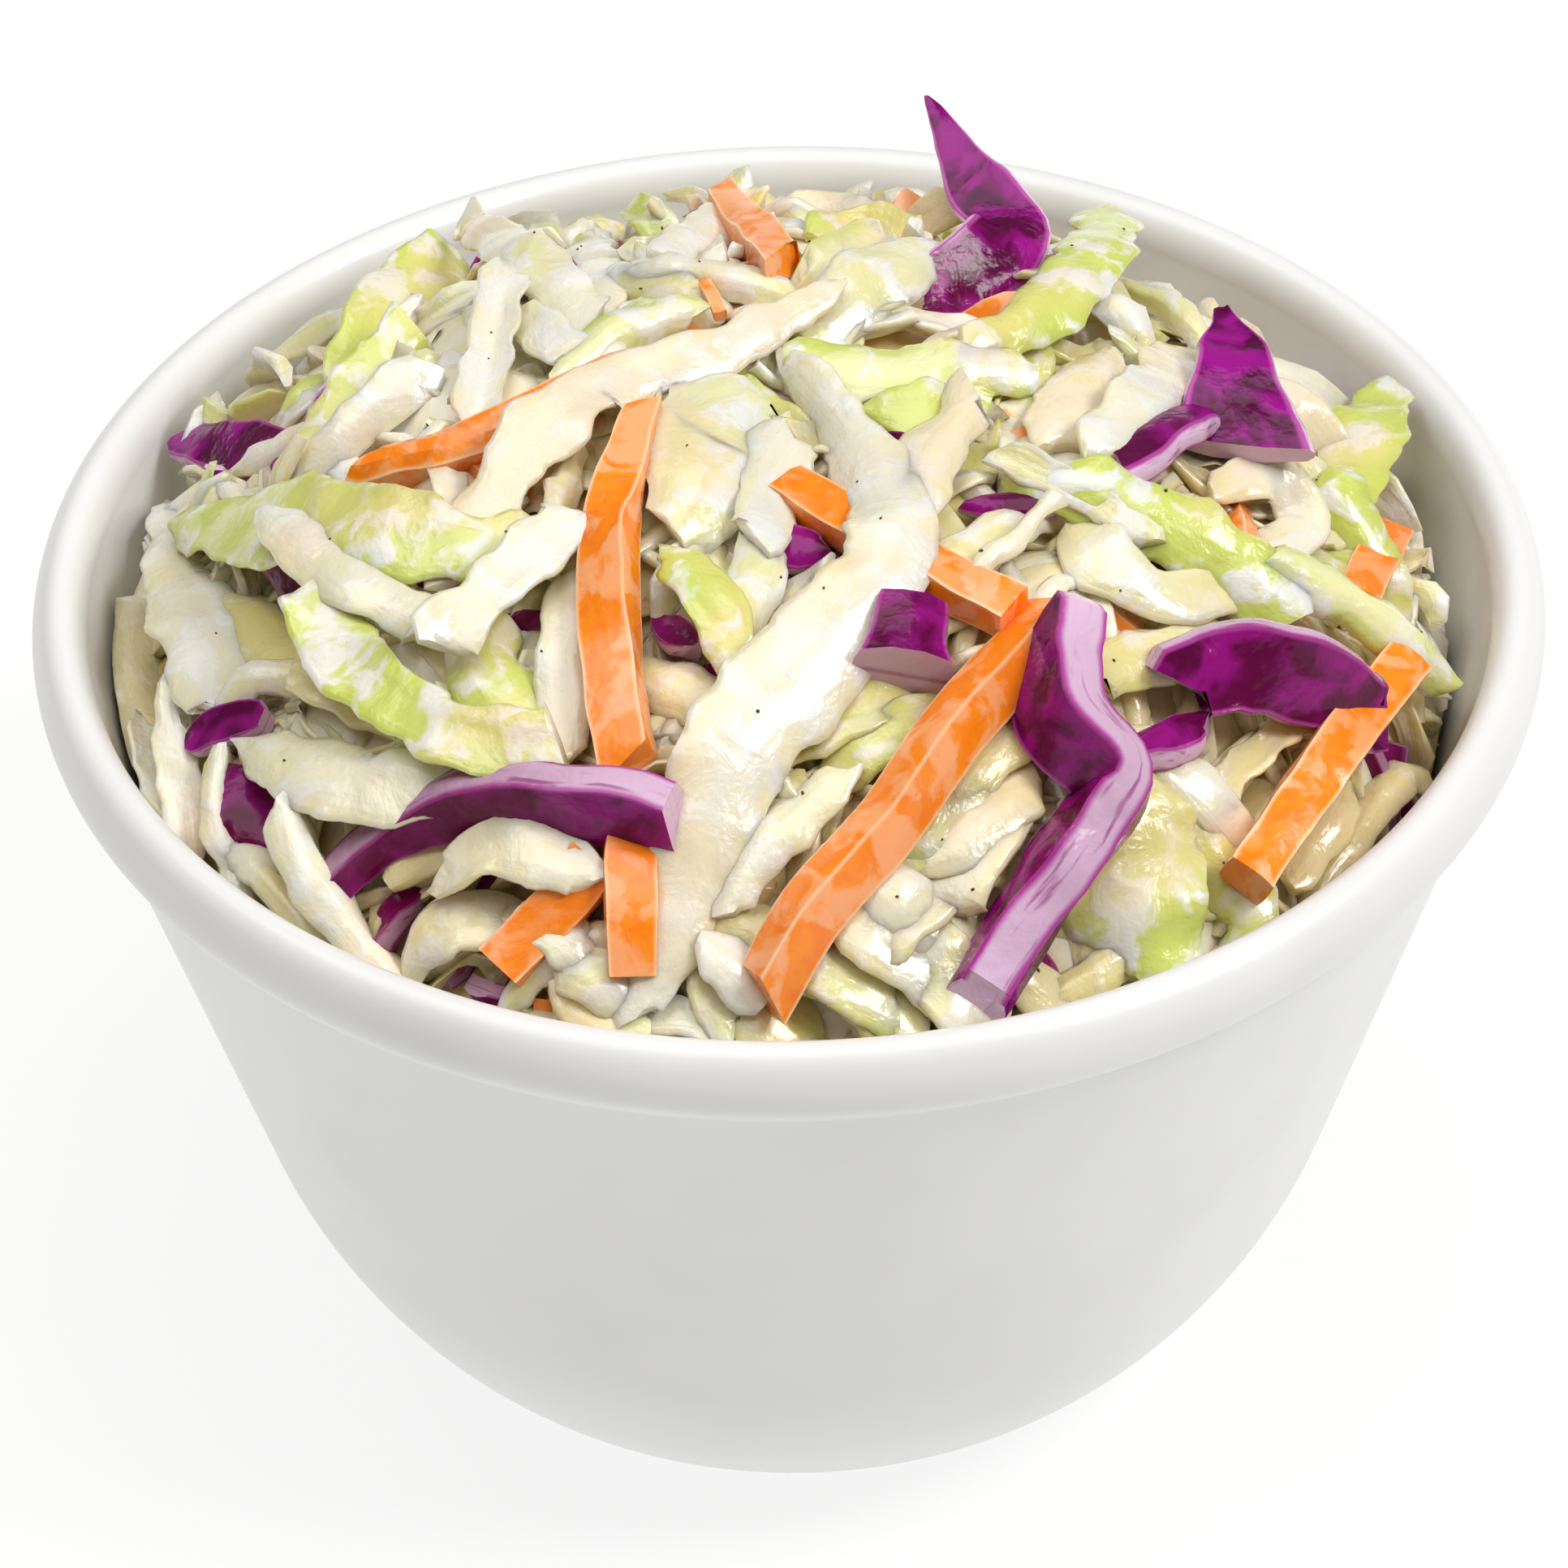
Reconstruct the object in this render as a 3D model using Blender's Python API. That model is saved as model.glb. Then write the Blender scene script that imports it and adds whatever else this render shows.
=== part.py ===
"""A side cup heaped with coleslaw.

The cup is a turned body with a rolled lip and a foot ring. The coleslaw is one solid: a dressed core that
fills the cup and domes above its rim, with the larger shreds, sticks and leaves standing out of it.
World frame: metres, +Z up, origin at the middle of the foot, the heap's front towards -Y.
"""

import math
from dataclasses import dataclass

import bmesh
import bpy
import numpy as np
from mathutils import Vector

MM = 0.001

# Driving dimensions, in millimetres
RIM_RADIUS = 49.0          # outside of the lip
CUP_HEIGHT = 58.0
LIP_WIDTH = 3.6
LIP_HEIGHT = 5.6
LIP_END = -58.0            # degrees round its section at which the lip's curve ends, outside
LIP_OVERHANG = 2.5         # how far the lip stands out from the wall under it
SHOULDER_RADIUS = 36.6     # outside, where the straight wall turns into the belly
SHOULDER_HEIGHT = 18.8
WALL = 2.7
UNDER_LIP = 1.2            # height of the small slope between the lip and the wall
BELLY_OUT = 6.5            # the belly's bend leaves the foot this far outwards
BELLY_RISE = 3.6           # and this far up, outside
BELLY_RISE_INSIDE = 1.5    # and this far up from the floor, inside
SHOULDER_IN = 2.2          # it meets the shoulder from this far inwards
SHOULDER_DROP = 7.3        # and this far below
FOOT_RADIUS = 22.6
FOOT_RING = 2.4
FOOT_RECESS = 0.8
FLOOR = 4.0                # height of the floor inside
HEAP_TOP = 11.0            # the core's top above the rim
HEAP_SIDE = 43.5           # radius at which the core meets the wall
HEAP_STEEPNESS = 3.0       # higher keeps the dome flat for longer before it falls to the wall
CONTACT_DEPTH = 7.2        # mean depth under the rim at which the core meets the wall
CONTACT_SWAY = 2.4         # how much deeper than that it meets the wall on its low side
LOW_SIDE = math.radians(40.0)
GAP = 0.35                 # between the coleslaw and the cup
SHRED_ROOT = 3.0           # how far a shred's solid reaches down into the core
LOOSE_DEPTH = 2.4          # depth of a shred that stands free of the core
CROWN = 0.5                # how much higher a shred is along its middle
# A shred's section: shares of its width, and the drop from its middle line; None is its underside
SECTION = ((-0.5, CROWN), (0.0, 0.0), (0.5, CROWN), (0.42, None), (-0.42, None))

# Fineness
TURN_STEPS = 60
LIP_STEPS = 8
BELLY_STEPS = 5
CORE_STEPS = 45
CORE_SIDE_RINGS = 3
CORE_TOP_RINGS = 9
STEPS_PER_SPAN = 2

# The short shreds strewn between the large ones
SMALL_SHREDS = 24
SMALL_SHRED_REACH = 36.0   # how far from the axis they lie
HALF_LENGTHS = (4.0, 7.0)
SMALL_WIDTHS = (2.5, 3.6)
TIP_WIDTH = 2.0
LIFTS = (0.5, 1.4)         # how far they stand above the core
SEED = 11


@dataclass(frozen=True)
class Shred:
    """A shred that stands out: its middle line from the middle of the rim plane, and its widths, in mm."""

    line: tuple
    widths: tuple
    loose: bool = False  # stands free of the core instead of being rooted in it


SHREDS = {
    "broad white ribbon": Shred(
        ((0, 4, 13), (4, -8, 16), (5, -18, 14), (-4, -29, 9), (-9, -38, 2), (-12, -42, -3)), (3, 6, 6, 5, 3)),
    "upper pale strip": Shred(((-18, -9, 11), (-11, 1, 15), (-5, 4, 15), (2, 11, 14)), (3, 4, 3)),
    "left leaf": Shred(((-40, 7, -1), (-29, -8, 9), (-21, -13, 12), (-13, -13, 12)), (3, 7, 5, 3)),
    "left s strip": Shred(((-29, -11, 8), (-29, -17, 7), (-25, -23, 6), (-15, -29, 7)), (4, 4, 4)),
    "left front strip": Shred(((-35, -18, 0), (-29, -24, 3), (-22, -28, 5), (-15, -29, 7)), (2, 4.5, 4)),
    "left short strip": Shred(((-31, -24, 2), (-29, -30, -1), (-25, -34, -3)), (3, 3, 2.5)),
    "left wall strip": Shred(((-39, -10, 0), (-38, -15, -3)), (2, 2)),
    "back left leaf": Shred(((-22, 30, 5), (-26, 21, 6), (-30, 15, 3)), (4, 5, 3)),
    "back left strip": Shred(((-21, 29, 8), (-17, 19, 12), (-12, 10, 13)), (4, 4, 4)),
    "back left slim strip": Shred(((-18, 16, 13), (-19, 8, 12), (-20, 2, 11)), (2.6, 2.6)),
    "back green strip": Shred(((21, 28, 8), (19, 15, 13), (16, 6, 14), (11, 3, 13)), (3.5, 4, 4)),
    "lime strip": Shred(((13, -6, 13), (19, -9, 13), (25, -11, 11), (33, -13, 5)), (3.5, 5, 4)),
    "right pale stick": Shred(((30, -11, 8), (37, -11, 3), (41, -10, -2)), (3, 3)),
    "right wide strip": Shred(((27, 8, 9), (19, -5, 13)), (3.5, 3.5)),
    "middle wide strip": Shred(((19, 7, 13), (15, -7, 13)), (4, 3.5)),
    "peach strip": Shred(((12, 0, 15), (7, -15, 13)), (3.2, 3.2)),
    "right leaf": Shred(((39, 18, 1), (37, 11, 1), (36, 3, 1)), (4, 5, 3)),
    "crumpled leaf": Shred(((21, -29, 5), (23, -34, 2), (21, -38, -2)), (8, 10, 7)),
    "petal": Shred(((-3, 1, 15), (-6, -13, 12)), (7, 5)),
    "top flap": Shred(((2, 9, 14), (6, 13, 14), (10, 18, 12)), (4, 4)),
    "long pale strip": Shred(((6, -29, 9), (0, -34, 7), (-4, -38, 2)), (3, 2.6)),
    "left carrot": Shred(((-27, 0, 8), (-20, -1, 12), (-11, 3, 14)), (2.4, 2.4)),
    "middle carrot": Shred(((-9, -2, 15), (-11, -13, 14), (-11, -23, 11), (-10, -30, 7)), (2.6, 3)),
    "front left carrot": Shred(((-12, -34, 4), (-18, -38, -1)), (3.4, 3.4)),
    "centre carrot": Shred(((0, -8, 13), (7, -15, 13), (14, -20, 12)), (2.8, 2.8)),
    "long carrot": Shred(
        ((16, -20, 11), (10, -29, 10), (6, -34, 7), (1, -39, 3), (-2, -42, -1)), (3, 3.4, 3.4)),
    "right carrot": Shred(((40, -12, -1), (34, -23, 1), (28, -32, 0)), (3.4, 3.4)),
    "right small carrot": Shred(((39, 5, -2), (36, -6, 1)), (3, 3)),
    "back carrot": Shred(((-3, 31, 8), (0, 18, 12)), (2.6, 3)),
    "left purple": Shred(((-7, -34, 7), (-12, -32, 7), (-20, -30, 4), (-28, -29, -1)), (4, 3.5, 2)),
    "front purple": Shred(
        ((17, -22, 11), (17, -28, 10), (20, -31, 7), (16, -35, 4), (11, -42, -1)), (5, 4.5, 4, 3)),
    "right purple": Shred(((24, -21, 7), (30, -18, 5), (37, -16, -1)), (4, 4.5, 3)),
    "back right purple": Shred(((22, -4, 11), (27, 4, 12), (28, 12, 10)), (4, 6, 4)),
    "far left purple": Shred(((-38, 17, -1), (-36, 13, 1), (-31, 4, 5)), (3, 4, 3)),
    "spike": Shred(((12, 15, 11), (16, 21, 12), (12.5, 26, 13), (10, 32, 15)), (5, 5, 3, 1), loose=True),
}


def clear_scene():
    """Empties the file that the script starts from."""
    for item in list(bpy.data.objects):
        bpy.data.objects.remove(item, do_unlink=True)


def principled(name, colour, roughness):
    """A plain surface of one colour."""
    material = bpy.data.materials.new(name)
    material.use_nodes = True
    shader = material.node_tree.nodes["Principled BSDF"]
    shader.inputs["Base Color"].default_value = (*colour, 1.0)
    shader.inputs["Roughness"].default_value = roughness
    return material


def add_object(name, mesh, material):
    """Puts a mesh in the scene under its own name."""
    thing = bpy.data.objects.new(name, mesh)
    thing.data.materials.append(material)
    bpy.context.collection.objects.link(thing)
    return thing


def flat_faced(build, name):
    """Ends a build as a mesh of triangles, so that every face is flat when solids are joined."""
    bmesh.ops.triangulate(build, faces=build.faces)
    mesh = bpy.data.meshes.new(name)
    build.to_mesh(mesh)
    build.free()
    return mesh


def arc(centre, radii, start, end, steps):
    """Points of an elliptical arc in the (radius, height) plane, angles in degrees."""
    angles = np.radians(np.linspace(start, end, steps))
    return [(centre[0] + radii[0] * math.cos(a), centre[1] + radii[1] * math.sin(a)) for a in angles]


def bend(start, pull, push, end, steps):
    """Points of a cubic bend from start to end, without the start itself."""
    points = []
    for t in np.linspace(0.0, 1.0, steps + 1)[1:]:
        weights = ((1 - t) ** 3, 3 * t * (1 - t) ** 2, 3 * t * t * (1 - t), t ** 3)
        points.append(tuple(sum(w * p[i] for w, p in zip(weights, (start, pull, push, end))) for i in (0, 1)))
    return points


def cavity_profile():
    """The inside of the cup, (radius, height) from the middle of the floor up to the lip."""
    foot = (FOOT_RADIUS - WALL, FLOOR)
    shoulder = (SHOULDER_RADIUS - WALL, SHOULDER_HEIGHT)
    out_of_foot = (foot[0] + BELLY_OUT, FLOOR + BELLY_RISE_INSIDE)
    below_shoulder = (shoulder[0] - SHOULDER_IN, shoulder[1] - SHOULDER_DROP)
    belly = bend(foot, out_of_foot, below_shoulder, shoulder, BELLY_STEPS)
    return [(0.0, FLOOR), foot, *belly, (RIM_RADIUS - LIP_WIDTH, CUP_HEIGHT - LIP_HEIGHT / 2)]


def cup_profile():
    """The whole section: floor, inside, over the lip, down the outside and under the foot."""
    lip_centre = (RIM_RADIUS - LIP_WIDTH / 2, CUP_HEIGHT - LIP_HEIGHT / 2)
    lip = arc(lip_centre, (LIP_WIDTH / 2, LIP_HEIGHT / 2), 180.0, LIP_END, LIP_STEPS)[1:]
    under_lip = (RIM_RADIUS - LIP_OVERHANG, CUP_HEIGHT - LIP_HEIGHT - UNDER_LIP)
    shoulder = (SHOULDER_RADIUS, SHOULDER_HEIGHT)
    foot = (FOOT_RADIUS, 0.0)
    below_shoulder = (shoulder[0] - SHOULDER_IN, shoulder[1] - SHOULDER_DROP)
    out_of_foot = (foot[0] + BELLY_OUT, BELLY_RISE)
    belly = bend(shoulder, below_shoulder, out_of_foot, foot, BELLY_STEPS)
    ring_inside = FOOT_RADIUS - FOOT_RING
    recess = [(ring_inside, 0.0), (ring_inside - FOOT_RECESS, FOOT_RECESS), (0.0, FOOT_RECESS)]
    return [*cavity_profile(), *lip, under_lip, shoulder, *belly, *recess]


def make_cup():
    """The cup, turned about its axis."""
    profile = bmesh.new()
    corners = [profile.verts.new((r * MM, 0.0, z * MM)) for r, z in cup_profile()]
    for first, second in zip(corners, corners[1:]):
        profile.edges.new((first, second))
    mesh = bpy.data.meshes.new("cup")
    profile.to_mesh(mesh)
    profile.free()
    cup = add_object("cup", mesh, principled("cup_white", (0.86, 0.86, 0.85), 0.22))
    turn = cup.modifiers.new("Turn", "SCREW")
    turn.axis = "Z"
    turn.steps = TURN_STEPS
    turn.render_steps = TURN_STEPS
    turn.use_merge_vertices = True
    turn.merge_threshold = 0.00001
    turn.use_smooth_shade = True
    return cup


def cavity_radius(height):
    """The cavity's radius at a height; above the lip's middle it keeps the lip's radius."""
    radii, heights = zip(*cavity_profile()[1:])
    return float(np.interp(height, heights, radii))


def contact_height(angle):
    """Height at which the core meets the wall, lowest at the back right."""
    return CUP_HEIGHT - CONTACT_DEPTH - CONTACT_SWAY * math.cos(angle - LOW_SIDE)


def relief(x, y):
    """The uneven packing of the core's top, as three crossing sets of soft ridges."""
    ridges = 0.0
    for heading, pitch, height in ((20.0, 9.0, 0.55), (75.0, 7.0, 0.5), (140.0, 11.0, 0.6)):
        turn = math.radians(heading)
        ridges += height * math.sin((x * math.cos(turn) + y * math.sin(turn)) * math.tau / pitch)
    return ridges


def core_height(x, y):
    """Height of the core's top over a place in the cup."""
    side = contact_height(math.atan2(y, x))
    reach = min(math.hypot(x, y) / HEAP_SIDE, 1.0)
    dome = (CUP_HEIGHT + HEAP_TOP - side) * (1.0 - reach ** HEAP_STEEPNESS)
    return side + dome + relief(x, y) * (1.0 - reach)


def core_rings(angle):
    """One meridian of the core as (radius, height), from the floor's middle to the dome's middle."""
    side = contact_height(angle)
    floor = [(r, z + GAP) for r, z in cavity_profile()[1:] if z < SHOULDER_HEIGHT]
    walls = np.linspace(SHOULDER_HEIGHT, side, CORE_SIDE_RINGS + 1)
    rings = [(r - GAP, z) for r, z in floor] + [(cavity_radius(z) - GAP, z) for z in walls]
    edge = rings[-1][0]
    for share in np.linspace(1.0, 0.0, CORE_TOP_RINGS + 1)[1:-1]:
        radius = edge * share
        rings.append((radius, core_height(radius * math.cos(angle), radius * math.sin(angle))))
    return rings


def make_core(material):
    """The heap's core: it fills the cup and domes over the rim."""
    build = bmesh.new()
    columns = []
    for step in range(CORE_STEPS):
        angle = math.tau * step / CORE_STEPS
        spoke = [(r * math.cos(angle), r * math.sin(angle), z) for r, z in core_rings(angle)]
        columns.append([build.verts.new(Vector(p) * MM) for p in spoke])
    bottom = build.verts.new((0.0, 0.0, (FLOOR + GAP) * MM))
    top = build.verts.new((0.0, 0.0, core_height(0.0, 0.0) * MM))
    for here, there in zip(columns, columns[1:] + columns[:1]):
        build.faces.new((bottom, there[0], here[0]))
        build.faces.new((top, here[-1], there[-1]))
        for low in range(len(here) - 1):
            build.faces.new((here[low], there[low], there[low + 1], here[low + 1]))
    return add_object("coleslaw", flat_faced(build, "coleslaw"), material)


def smooth_line(points, steps):
    """A smooth line through the points, with a few steps to each span."""
    ends = [2 * points[0] - points[1], *points, 2 * points[-1] - points[-2]]
    line = []
    for before, start, end, after in zip(ends, ends[1:], ends[2:], ends[3:]):
        for t in np.arange(steps) / steps:
            square = (2 * before - 5 * start + 4 * end - after) * t ** 2
            cube = (3 * start - before - 3 * end + after) * t ** 3
            line.append(0.5 * (2 * start + (end - before) * t + square + cube))
    return [*line, points[-1]]


def inside_cup(corner):
    """Moves a corner in from the wall where it would touch the cup."""
    limit = cavity_radius(corner[2]) - 2.0 * GAP
    share = min(limit / math.hypot(corner[0], corner[1]), 1.0)
    return corner * np.array((share, share, 1.0))


def underside(corner, loose):
    """Height of a shred's underside: rooted in the core, or at its own depth where it stands free."""
    if loose:
        return corner[2] - LOOSE_DEPTH
    return min(core_height(corner[0], corner[1]), corner[2] - CROWN) - SHRED_ROOT


def make_shred(name, shred):
    """A strip along its line, crowned on top and reaching down into the core."""
    lift = np.array((0.0, 0.0, CUP_HEIGHT))
    line = smooth_line([np.array(p, dtype=float) + lift for p in shred.line], STEPS_PER_SPAN)
    along = np.linspace(0.0, 1.0, len(line))
    widths = np.interp(along, np.linspace(0.0, 1.0, len(shred.widths)), shred.widths)
    build = bmesh.new()
    sections = []
    for index, (point, width) in enumerate(zip(line, widths)):
        ahead = line[min(index + 1, len(line) - 1)] - line[max(index - 1, 0)]
        side = np.array((ahead[1], -ahead[0], 0.0)) / math.hypot(ahead[0], ahead[1])
        section = []
        for across, drop in SECTION:
            corner = point + side * across * width
            corner[2] = underside(corner, shred.loose) if drop is None else corner[2] - drop
            section.append(build.verts.new(Vector(inside_cup(corner)) * MM))
        sections.append(section)
    for here, there in zip(sections, sections[1:]):
        for low in range(len(here)):
            high = (low + 1) % len(here)
            build.faces.new((here[low], there[low], there[high], here[high]))
    build.faces.new(sections[0])
    build.faces.new(tuple(reversed(sections[-1])))
    bmesh.ops.recalc_face_normals(build, faces=build.faces)
    strip = bpy.data.objects.new(name, flat_faced(build, name))
    strip.hide_render = True
    strip.display_type = "WIRE"
    return strip


def small_shreds():
    """Short shreds strewn over the core between the large ones."""
    chance = np.random.default_rng(SEED)
    golden_turn = math.pi * (math.sqrt(5.0) - 1.0)
    for number in range(SMALL_SHREDS):
        angle = golden_turn * number
        reach = SMALL_SHRED_REACH * math.sqrt((number + 0.5) / SMALL_SHREDS)
        heading = chance.uniform(0.0, math.pi)
        half = chance.uniform(*HALF_LENGTHS)
        middle = np.array((reach * math.cos(angle), reach * math.sin(angle)))
        step = half * np.array((math.cos(heading), math.sin(heading)))
        line = []
        for place in (middle - step, middle, middle + step):
            place = place * min(1.0, SMALL_SHRED_REACH / math.hypot(*place))
            line.append((*place, core_height(*place) - CUP_HEIGHT + chance.uniform(*LIFTS)))
        widths = (TIP_WIDTH, chance.uniform(*SMALL_WIDTHS), TIP_WIDTH)
        yield f"small shred {number + 1}", Shred(tuple(line), widths)


def drop_slivers(mesh):
    """Keeps the largest connected body, without the slivers that a union can leave inside it."""
    build = bmesh.new()
    build.from_mesh(mesh)
    waiting = set(build.faces)
    bodies = []
    while waiting:
        body = {waiting.pop()}
        edge_of_body = list(body)
        while edge_of_body:
            neighbours = {other for edge in edge_of_body.pop().edges for other in edge.link_faces} - body
            body |= neighbours
            edge_of_body.extend(neighbours)
        waiting -= body
        bodies.append(body)
    bodies.sort(key=len)
    slivers = [face for body in bodies[:-1] for face in body]
    bmesh.ops.delete(build, geom=slivers, context="FACES")
    build.to_mesh(mesh)
    build.free()


def make_coleslaw():
    """The core with every shred joined to it as one solid."""
    core = make_core(principled("dressed_cabbage", (0.82, 0.82, 0.62), 0.35))
    strips = bpy.data.collections.new("shreds")
    bpy.context.scene.collection.children.link(strips)
    for name, shred in (*SHREDS.items(), *small_shreds()):
        strips.objects.link(make_shred(name, shred))
    join = core.modifiers.new("Join the shreds", "BOOLEAN")
    join.operation = "UNION"
    join.operand_type = "COLLECTION"
    join.collection = strips
    join.solver = "EXACT"
    join.use_self = True
    joined = bpy.data.meshes.new_from_object(core.evaluated_get(bpy.context.evaluated_depsgraph_get()))
    core.modifiers.remove(join)
    core.data = joined
    drop_slivers(joined)
    for strip in list(strips.objects):
        bpy.data.objects.remove(strip, do_unlink=True)
    return core


def main():
    """Builds both pieces."""
    clear_scene()
    make_cup()
    make_coleslaw()


main()
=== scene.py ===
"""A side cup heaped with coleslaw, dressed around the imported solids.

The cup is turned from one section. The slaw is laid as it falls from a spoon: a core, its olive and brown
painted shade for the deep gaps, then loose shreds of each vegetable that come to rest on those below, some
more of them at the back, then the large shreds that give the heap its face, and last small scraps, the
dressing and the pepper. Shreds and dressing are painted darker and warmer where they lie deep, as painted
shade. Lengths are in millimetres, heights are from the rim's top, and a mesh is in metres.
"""

from __future__ import annotations

import logging
import math
from dataclasses import dataclass, field
from enum import Enum
from typing import Any, Iterator, Optional, Sequence

import bpy
import numpy as np
from mathutils import Matrix, Vector
from mathutils.bvhtree import BVHTree


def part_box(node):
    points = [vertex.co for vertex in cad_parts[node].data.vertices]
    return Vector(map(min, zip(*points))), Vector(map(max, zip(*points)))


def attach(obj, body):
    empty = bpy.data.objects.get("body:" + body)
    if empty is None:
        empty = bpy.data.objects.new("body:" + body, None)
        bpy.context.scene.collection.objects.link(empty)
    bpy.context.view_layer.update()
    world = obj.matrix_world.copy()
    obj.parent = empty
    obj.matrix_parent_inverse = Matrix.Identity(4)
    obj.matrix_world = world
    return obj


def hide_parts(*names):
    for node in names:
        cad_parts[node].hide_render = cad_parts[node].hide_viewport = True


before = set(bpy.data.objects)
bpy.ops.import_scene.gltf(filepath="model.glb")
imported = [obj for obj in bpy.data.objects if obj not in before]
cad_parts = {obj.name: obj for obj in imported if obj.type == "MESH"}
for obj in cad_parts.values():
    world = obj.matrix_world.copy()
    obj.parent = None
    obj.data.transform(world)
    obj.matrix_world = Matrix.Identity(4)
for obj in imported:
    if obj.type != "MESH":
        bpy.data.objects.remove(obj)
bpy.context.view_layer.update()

log = logging.getLogger("coleslaw")

MM = 0.001
CUP_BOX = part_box("cup")
RIM_HEIGHT = CUP_BOX[1].z / MM
RIM_RADIUS = CUP_BOX[1].x / MM
SEED = 7
SEAM = 0.00001  # points nearer than this are one, in metres
TONE_SHIFT = 40.0  # how far apart a shred's tone sets its patterns from its neighbours'


Socket = bpy.types.NodeSocket


class Kind(Enum):
    """The vegetables of the slaw; each value names the piece and its material slot."""

    WHITE = "white_cabbage"
    GREEN = "green_cabbage"
    CARROT = "carrot"
    RED = "red_cabbage"


# --------------------------------------------------------------------------- node graphs


class Graph:
    """Adds nodes to a shader or geometry tree and joins them."""

    def __init__(self, tree: bpy.types.NodeTree) -> None:
        """Keeps the tree.

        Args:
            tree: the tree that the nodes go into.
        """
        self.tree = tree

    def add(self, kind: str, inputs: Optional[dict[Any, Any]] = None, **settings: Any) -> bpy.types.Node:
        """Adds a node.

        Args:
            kind: the node's type name.
            inputs: input name or place to a value or an output to join.
            settings: properties of the node itself.

        Returns:
            The new node.
        """
        node = self.tree.nodes.new(kind)
        for name, value in settings.items():
            setattr(node, name, value)
        for key, value in (inputs or {}).items():
            self.feed(node.inputs[key], value)
        return node

    def feed(self, socket: Socket, value: Any) -> None:
        """Sets an input, or joins it to an output."""
        if isinstance(value, Socket):
            self.tree.links.new(value, socket)
        else:
            socket.default_value = value

    def math(self, operation: str, *values: Any) -> Socket:
        """A Math node's result."""
        return self.add("ShaderNodeMath", dict(enumerate(values)), operation=operation).outputs[0]

    def vector(self, operation: str, *values: Any) -> Socket:
        """A Vector Math node's vector; a Scale takes its factor last."""
        node = self.add("ShaderNodeVectorMath", operation=operation)
        self.feed(node.inputs[0], values[0])
        self.feed(node.inputs["Scale"] if operation == "SCALE" else node.inputs[1], values[1])
        return node.outputs[0]

    def product(self, first: Any, *others: Any) -> Socket:
        """The product of some numbers."""
        for other in others:
            first = self.math("MULTIPLY", first, other)
        return first

    def combine(self, x: Any, y: Any, z: Any) -> Socket:
        """A vector from three numbers."""
        return self.add("ShaderNodeCombineXYZ", {"X": x, "Y": y, "Z": z}).outputs[0]

    def ramp(self, value: Any, low: float, high: float) -> Socket:
        """A smooth 0 to 1 as a value goes from low to high."""
        inputs = {"Value": value, "From Min": low, "From Max": high}
        return self.add("ShaderNodeMapRange", inputs, interpolation_type="SMOOTHSTEP").outputs[0]


# --------------------------------------------------------------------------- finishes


def colour(red: int, green: int, blue: int) -> tuple[float, float, float, float]:
    """A display colour, 0 to 255 a channel, as the linear colour that shaders take."""
    shares = (red / 255, green / 255, blue / 255)
    linear = [c / 12.92 if c < 0.0404 else ((c + 0.055) / 1.055) ** 2.4 for c in shares]
    return (*linear, 1.0)


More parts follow.
